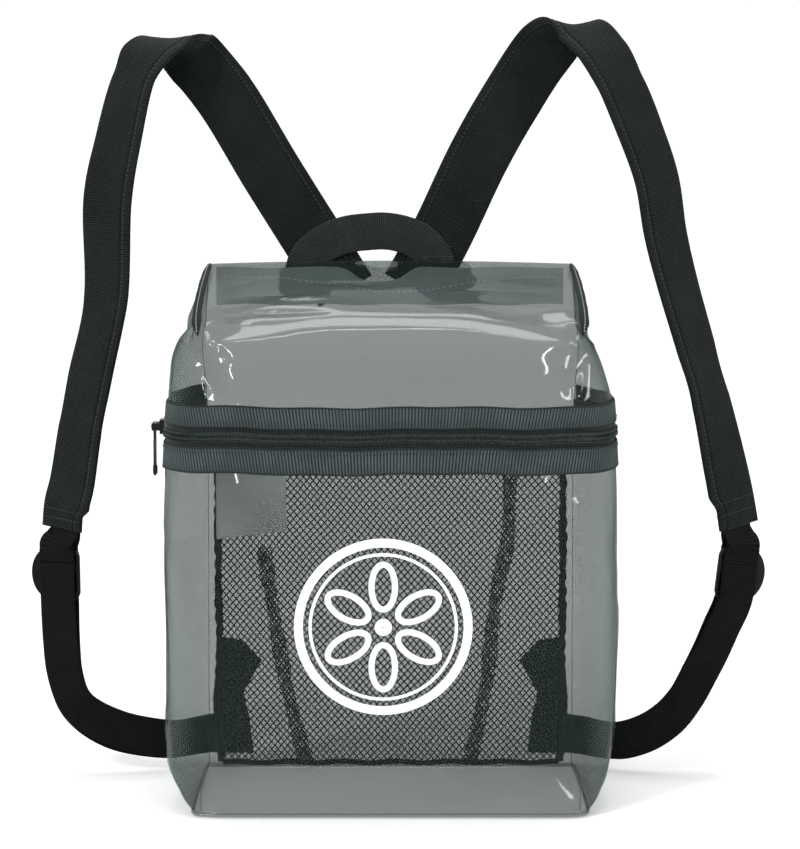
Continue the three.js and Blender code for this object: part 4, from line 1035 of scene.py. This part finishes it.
def corner_patches():
    """The patches at the lower back corners, with a row of stitches inside their edges."""
    shares = [(0.825, 0.026), (0.64, 0.026), (0.66, 0.1), (0.685, 0.15),
              (0.6, 0.215), (0.69, 0.255), (0.8, 0.262), (0.832, 0.14)]
    for side, name in ((-1, "left"), (1, "right")):
        corners = np.array([(side * out * BODY_HALF_WIDTH, up * BODY_HEIGHT) for out, up in shares])
        outline = evenly(np.concatenate([corners, corners[:1]]), 120)[:-1][::-side]
        centre = outline.mean(0)
        ring = outline - 0.35 * unit(outline - centre) * (1 + np.sin(np.arange(120) * 1.7))[:, None]
        form = plate(ring, BACK_FAR + GAP, PATCH_FAR)
        sharpen(piece("corner_patch_cloth_" + name, form, PATCH, "corner_patch_" + name))
        inner = centre + (outline - centre) * 0.86
        line = np.insert(np.concatenate([inner, inner[:1]]), 1, PATCH_FAR + 0.05, axis=1)
        stitches("corner_stitches_" + name, [line], [(0, 1, 0)], DARK_THREAD, 3.0, 2.0, 0.6, "webbing")


# Straps, webbing, sliders and handle.

def shoulder_strap(rows, side, name):
    """A strap pad, narrower at its end, with its hem stitches and the rows across both ends."""
    places, leans = route(rows, STRAP_STEPS, STRAP_SEAT)
    narrow = smooth(np.linspace(0, 1, len(places)), 0.93, 0.965)
    widths = 1 - 0.14 * narrow
    sag = -0.07 * STRAP_WIDTH * narrow
    section = flat_section(STRAP_WIDTH, STRAP_CLOTH, 20, groove=STRAP_WIDTH / 2 - 6.2)
    form = ribbon(places, leans, section, widths, sag)
    piece("strap_cloth_" + name, form, STRAP, "shoulder_strap_" + name, side)
    _, across, normals = directions(places, leans)
    last = len(places) - 1
    lines, outs = [], []
    for face in (-1, 1):
        reach = (STRAP_WIDTH / 2 - 4.4) * widths + sag
        line = places + across * reach[:, None] + normals * face * (STRAP_CLOTH / 2 - 0.3)
        lines.append(on_side(line[8:-10], side))
        outs.append(on_side(normals * face, side)[8:-10])
        for spot in (6, 13, last - 11, last - 6):
            span = np.linspace(-0.46, 0.46, 24)[:, None] * STRAP_WIDTH * widths[spot] + sag[spot]
            line = places[spot] + across[spot] * span + normals[spot] * face * (STRAP_CLOTH / 2 + 0.02)
            lines.append(on_side(line, side))
            outs.append(on_side(normals[spot] * face, side))
    stitches("strap_stitches_" + name, lines, outs, DARK_THREAD, 2.8, 1.9, 0.6, "webbing")


def doubled(places, leans, reach, layers=LAYER_REACH, astray=0.0):
    """A webbing along its stations, round a bar at the first and back, its under layer a little astray."""
    tangents, across, normals = directions(places, leans)
    layers = np.broadcast_to(layers, len(places))[:, None]
    angle = math.pi * np.arange(1, 16) / 16
    outward = np.sign(np.cos(angle)) * np.abs(np.cos(angle)) ** 0.6
    turn = (places[0] + normals[0] * (layers[0] * outward)[:, None]
            - tangents[0] * (reach * np.sin(angle) ** 0.6)[:, None])
    drift = across * (astray * np.sin(np.pi * np.linspace(0, 1, len(places)))[:, None] ** 2)
    line = np.concatenate([(places + normals * layers)[::-1], turn, places - normals * layers + drift])
    lean = np.concatenate([leans[::-1], np.tile(leans[0], (15, 1)), leans])
    return line, lean


def turn_reach(bar_half):
    """How far a webbing's middle reaches past the middle of the bar that it turns round."""
    return bar_half + GAP + WEBBING_THICK / 2 + TURN_PLAY


def webbing_piece(name, line, leans, node, side):
    form = ribbon(line, leans, flat_section(WEBBING_SEEN, WEBBING_THICK, 12))
    piece(name, form, WEBBING, node, side)


def lower_webbing(rows, side, name):
    places, leans = route(rows, WEBBING_STEPS, WEBBING_SEAT)
    line, lean = doubled(places, leans, turn_reach(BUCKLE_MIDDLE / 2), astray=-3.4 if side < 0 else -2.2)
    webbing_piece("webbing_cloth_" + name, line, lean, "lower_webbing_" + name, side)


def buckle_frame(rows):
    """The middle of a slider with its upward, across and outward directions."""
    places, leans = route(rows, 28, WEBBING_SEAT)
    up = unit(places[0] - places[1])
    across = unit(leans[0] - up * (leans[0] @ up))
    return places[0], up, across, np.cross(across, up)


def strap_tail(strap_rows, webbing_rows, side, name):
    """The loop from the end of a strap pad, round the slider's top bar and back."""
    centre, up, across, _ = buckle_frame(webbing_rows)
    rise = BUCKLE_MIDDLE / 2 + TOP_SLOT + BUCKLE_TOP / 2
    bar = centre + up * rise
    strap, strap_leans = route(strap_rows, STRAP_STEPS, STRAP_SEAT)
    down = unit(strap[-1] - strap[-4])
    pad_end = strap[-1] - 0.6 * down
    clear = bar + up * BUCKLE_TOP
    places = [bar, (bar + clear) / 2, clear, (clear + pad_end + 4 * down) / 2, pad_end + 3 * down, pad_end]
    fine = catmull_rom(places, TAIL_STEPS)
    share = np.linspace(0, 1, TAIL_STEPS + 1)
    along = smooth(share, 0.1, 0.9)[:, None]
    leans = unit((1 - along) * across + along * strap_leans[-1])
    layers = LAYER_REACH + (WEBBING_THICK / 2 + 0.05 - LAYER_REACH) * smooth(share, 0.35, 0.9)
    under_middle = rise - turn_reach(BUCKLE_MIDDLE / 2) - WEBBING_THICK + 0.35
    line, lean = doubled(fine, leans, under_middle, layers)
    webbing_piece("tail_cloth_" + name, line, lean, "strap_tail_" + name, side)


def rounded_path(points, radius, steps=6):
    """A closed outline with each corner turned by an arc of about that radius."""
    points = np.asarray(points, float)
    result = []
    for k in range(len(points)):
        before, here, after = points[k - 1], points[k], points[(k + 1) % len(points)]
        into, away = unit(before - here), unit(after - here)
        t = np.linspace(0, 1, steps)[:, None]
        a, b = here + into * radius, here + away * radius
        result.append((1 - t) ** 2 * a + 2 * t * (1 - t) * here + t ** 2 * b)
    return np.concatenate(result)


def strap_slider(rows, side, name):
    """A moulded slider: a plate with a rounded outer rim, three bars and two slots."""
    centre, up, across, normal = buckle_frame(rows)
    bar_half, slot_half = BUCKLE_MIDDLE / 2, WEBBING_WIDTH / 2 + SLOT_PLAY
    slot_top, slot_bottom = bar_half + TOP_SLOT, -bar_half - BOTTOM_SLOT
    left, right = -slot_half - OUTER_RIM, slot_half + INNER_RIM
    bottom, top = slot_bottom - BUCKLE_BOTTOM, slot_top + BUCKLE_TOP
    middle, half = (top + bottom) / 2, (top - bottom) / 2
    bow = [(-5 - (-5 - left) * math.cos(a), middle + half * math.sin(a))
           for a in np.radians(np.linspace(90, -90, 33))]
    outline = np.array(bow + [(right - 5, bottom), (right - 1.4, bottom + 1.4), (right, bottom + 5),
                              (right, top - 5), (right - 1.4, top - 1.4), (right - 5, top)])

    def slot(low, high):
        return rounded_path([(-slot_half, low), (-slot_half, high), (slot_half, high), (slot_half, low)], 1.0)

    work = bmesh.new()
    edges = []
    for loop in (outline, slot(bar_half, slot_top), slot(slot_bottom, -bar_half)):
        verts = [work.verts.new((x, y, 0)) for x, y in loop]
        edges += [work.edges.new((verts[k], verts[(k + 1) % len(verts)])) for k in range(len(verts))]
    bmesh.ops.triangle_fill(work, use_beauty=True, use_dissolve=False, edges=edges, normal=(0, 0, 1))
    grown_out = bmesh.ops.extrude_face_region(work, geom=list(work.faces))
    for vert in (v for v in grown_out["geom"] if isinstance(v, bmesh.types.BMVert)):
        vert.co.z = BUCKLE_THICK
    for vert in work.verts:
        x, y, z = vert.co.x, vert.co.y, vert.co.z - BUCKLE_THICK / 2
        vert.co = metres(on_side(centre + across * x + up * y + normal * z, side))
    bmesh.ops.recalc_face_normals(work, faces=work.faces)
    mesh = bpy.data.meshes.new("slider_" + name)
    work.to_mesh(mesh)
    work.free()
    thing = dressed("slider_" + name, mesh, MOULDED)
    rounding(thing, 0.8, 3, 40)
    settle(sharpen(thing, 50), "bag", "strap_slider_" + name)


def carry_handle():
    """The webbing handle: an arch between two sewn legs."""
    y = BACK_FAR + GAP + HANDLE_THICK / 2
    arch = [(-52, 289), (-51.5, 298), (-50, 305), (-44.5, 312), (-36, 317.5), (-25.7, 321.2), (-14.5, 322.7),
            (-3.3, 323.2), (6.5, 321.6), (15, 318.3), (22, 312.5), (26.5, 305.5), (28, 298), (28.3, 289)]
    places = np.insert(evenly(catmull_rom(arch, 160), HANDLE_STEPS), 1, y, axis=1)
    tangents = unit(np.gradient(places, axis=0))
    leans = tangents[:, [2, 1, 0]] * (1, 0, -1)
    form = ribbon(places, leans, flat_section(HANDLE_WIDTH, HANDLE_THICK, 14))
    piece("handle_cloth", form, HANDLE, "handle")
    lines, outs = [], []
    for foot in (places[1], places[-10]):
        corners = np.array([(-9, 0), (9, 0), (9, 9), (-9, 9), (-9, 0), (9, 9), (-9, 9), (9, 0)], float)
        box = evenly(corners, 90)
        for face in (-1, 1):
            lines.append(np.insert(foot[[0, 2]] + box, 1, y + face * (HANDLE_THICK / 2 + 0.02), axis=1))
            outs.append((0, face, 0))
    stitches("handle_stitches", lines, outs, DARK_THREAD, 2.6, 1.8, 0.5, "webbing")


# The print: a plain rosette of six petals in a ring, in white ink on the front.

def front_point(grid):
    """A finder for the front wall's y at any x and z."""
    half = grid.shape[1] // 2
    from_column, to_column = half - 60, half + 61
    part = grid[:, from_column:to_column]

    def find(x, z):
        ys = np.empty(len(x))
        for i, (px, pz) in enumerate(zip(x, z)):
            row = np.searchsorted(part[:, 60, 2], pz)
            row = min(max(row, 1), len(part) - 1)
            low, high = part[row - 1], part[row]
            t = (pz - low[60, 2]) / max(high[60, 2] - low[60, 2], 1e-6)
            ys[i] = (1 - t) * np.interp(px, low[:, 0], low[:, 1]) + t * np.interp(px, high[:, 0], high[:, 1])
        return ys

    return find


def print_on_front(grid):
    find = front_point(grid)
    middle = np.array((-4.0, 110.0))

    def strip(line, width):
        """A band of ink along a line of x and z."""
        tangent = unit(np.gradient(line, axis=0))
        side = np.column_stack([-tangent[:, 1], tangent[:, 0]])
        return [line + side * w for w in np.linspace(-width / 2, width / 2, 5)]

    turn = np.radians(np.linspace(0, 360, 121))
    circle = np.column_stack([np.cos(turn), np.sin(turn)])
    designs = [strip(middle + radius * circle, width) for radius, width in ((47, 5.0), (40.5, 1.8), (2.6, 4.4))]
    for petal in np.radians(np.arange(6) * 60 + 30):
        way = np.array((math.cos(petal), math.sin(petal)))
        beside = np.array((-way[1], way[0]))
        loop = middle + way * 22.5 + circle[:, :1] * way * 12.5 + circle[:, 1:] * beside * 6.5
        designs.append(strip(loop, 3.4))
    points, faces = [], []
    for rows in np.array(designs):
        x, z = rows[:, :, 0], rows[:, :, 1]
        y = find(x.ravel(), z.ravel()).reshape(x.shape)
        layer = np.stack([x, y, z], axis=-1)
        start = len(points)
        count = layer.shape[0] * layer.shape[1]
        points += (layer - (0, 0.28, 0)).reshape(-1, 3).tolist() + (layer - (0, 0.06, 0)).reshape(-1, 3).tolist()
        ids = np.arange(count).reshape(x.shape) + start
        quads = np.stack([ids[:-1, :-1], ids[:-1, 1:], ids[1:, 1:], ids[1:, :-1]], -1).reshape(-1, 4)
        faces += quads[:, ::-1].tolist() + (quads + count).tolist()
        rims = [ids[0], ids[-1][::-1]]
        if not np.allclose(layer[:, 0], layer[:, -1], atol=1e-6):
            rims += [ids[::-1, 0], ids[:, -1]]
        for line in rims:
            a, b = line[:-1], line[1:]
            faces += np.stack([a, b, b + count, a + count], axis=1).tolist()
    work = bmesh.new()
    mesh = bpy.data.meshes.new("front_print")
    mesh.from_pydata(metres(points).tolist(), [], faces)
    work.from_mesh(mesh)
    bmesh.ops.remove_doubles(work, verts=work.verts, dist=2e-6)
    bmesh.ops.recalc_face_normals(work, faces=work.faces)
    work.to_mesh(mesh)
    work.free()
    settle(sharpen(dressed("front_print", mesh, INK), 60), "bag", None)


# The studio.

def room():
    """The room round the table: pale overhead and behind the bag, dark at eye level in front."""
    world = bpy.data.worlds.new("room")
    world.use_nodes = True
    nodes = Nodes(world.node_tree)
    way = nodes.add("ShaderNodeSeparateXYZ", Vector=nodes.add("ShaderNodeTexCoord").outputs["Generated"]).outputs
    overhead = nodes.spread(way["Z"], 0.05, 0.85, 0.06, 0.45, "SMOOTHSTEP")
    behind = nodes.spread(way["Y"], 0.45, 0.95, 0.0, 0.85, "SMOOTHSTEP")
    camera_sees = nodes.add("ShaderNodeLightPath").outputs["Is Camera Ray"]
    back = nodes.tree.nodes["Background"]
    back.inputs["Color"].default_value = (0.97, 0.99, 1.0, 1)
    nodes.feed(back.inputs["Strength"], nodes.sum("MAXIMUM", nodes.sum("MAXIMUM", overhead, behind), camera_sees))
    return world


# Soft boxes: name, place, what it points at, size, power.
SOFT_BOXES = [
    ("key_box", (-1.5, -1.7, 1.5), (0, 0, -0.15), (0.7, 0.9), 40),
    ("fill_box", (1.9, -1.3, 0.5), (0, 0, -0.2), (0.5, 1.4), 17),
    ("left_strip", (-0.85, -1.9, 0.25), (0, 0, -0.2), (0.05, 0.9), 2.6),
    ("right_strip", (0.85, -1.9, 0.25), (0, 0, -0.2), (0.05, 0.9), 2.6),
    ("high_strip", (0, -0.5, 1.5), (0, 0, -0.2), (1.0, 0.04), 1.7),
    ("top_box", (0.1, 0.2, 2.2), (0, 0, -0.2), (1.4, 1.0), 18),
    ("back_wash", (0, 1.4, 2.2), (0, 2.9, -0.2), (3.0, 0.8), 26),
]

# The camera that was fitted to the photo: place, tilt down, lens and shift.
CAMERA_PLACE, CAMERA_TILT = (0, -1.593, -0.0334), 0.1178
LENS, LENS_SHIFT = 114.15, 0.0112


def paper_sweep():
    """Pale paper under the bag that curves up behind it."""
    ground = -CREST[2] / 1000 - 0.0004
    start, bend, columns = 2.2, 1.6, 9
    profile = [(-7.0, 0.0), (start, 0.0)]
    profile += [(start + bend * math.sin(a), bend - bend * math.cos(a))
                for a in np.radians(np.linspace(6, 90, 15))]
    profile += [(start + bend, 7.0)]
    verts = [(x, y, ground + z) for y, z in profile for x in np.linspace(-7, 7, columns)]
    faces = [(k, k + 1, k + 1 + columns, k + columns)
             for r in range(len(profile) - 1) for k in range(r * columns, r * columns + columns - 1)]
    mesh = bpy.data.meshes.new("paper_sweep")
    mesh.from_pydata(verts, [], faces)
    sweep = dressed("paper_sweep", mesh, studio_paper())
    sweep.visible_glossy = False


def studio():
    """A pale paper sweep, soft boxes and the camera at the photograph's angle."""
    scene = bpy.context.scene
    paper_sweep()
    scene.world = room()
    for name, where, aim, size, power in SOFT_BOXES:
        light = bpy.data.lights.new(name, "AREA")
        light.shape, light.size, light.size_y, light.energy = "RECTANGLE", size[0], size[1], power
        box = linked(name, light)
        box.location = where
        box.rotation_euler = (Vector(aim) - Vector(where)).to_track_quat("-Z", "Y").to_euler()
    lens = bpy.data.cameras.new("camera")
    lens.sensor_width, lens.lens, lens.shift_x, lens.clip_end = 36, LENS, LENS_SHIFT, 50
    scene.camera = linked("camera", lens)
    scene.camera.location = CAMERA_PLACE
    scene.camera.rotation_euler = (math.pi / 2 - CAMERA_TILT, 0, 0)
    scene.view_settings.view_transform = "Standard"
    scene.cycles.transparent_max_bounces = 48


studio()
wall = lower_wall()
hood()
floor_and_back()
welded_edges()
binding("upper_binding", UPPER_LINE, UPPER_LINE + UPPER_BINDING, "zip_binding_upper")
binding("lower_binding", LOWER_LINE - LOWER_BINDING, LOWER_LINE, "zip_binding_lower")
zip_chain()
rounded_copy("slider_body", "zip_slider", 0.35, "bag")
rounded_copy("pull_tab", "zip_pull", 0.3, "pull")
net_lining()
blank_label()
top_band()
seam_tapes()
corner_patches()
for side, name, strap, webbing in (
    (-1, "left", LEFT_STRAP, LEFT_WEBBING),
    (1, "right", RIGHT_STRAP, RIGHT_WEBBING),
):
    shoulder_strap(strap, side, name)
    lower_webbing(webbing, side, name)
    strap_tail(strap, webbing, side, name)
    strap_slider(webbing, side, name)
carry_handle()
print_on_front(wall)
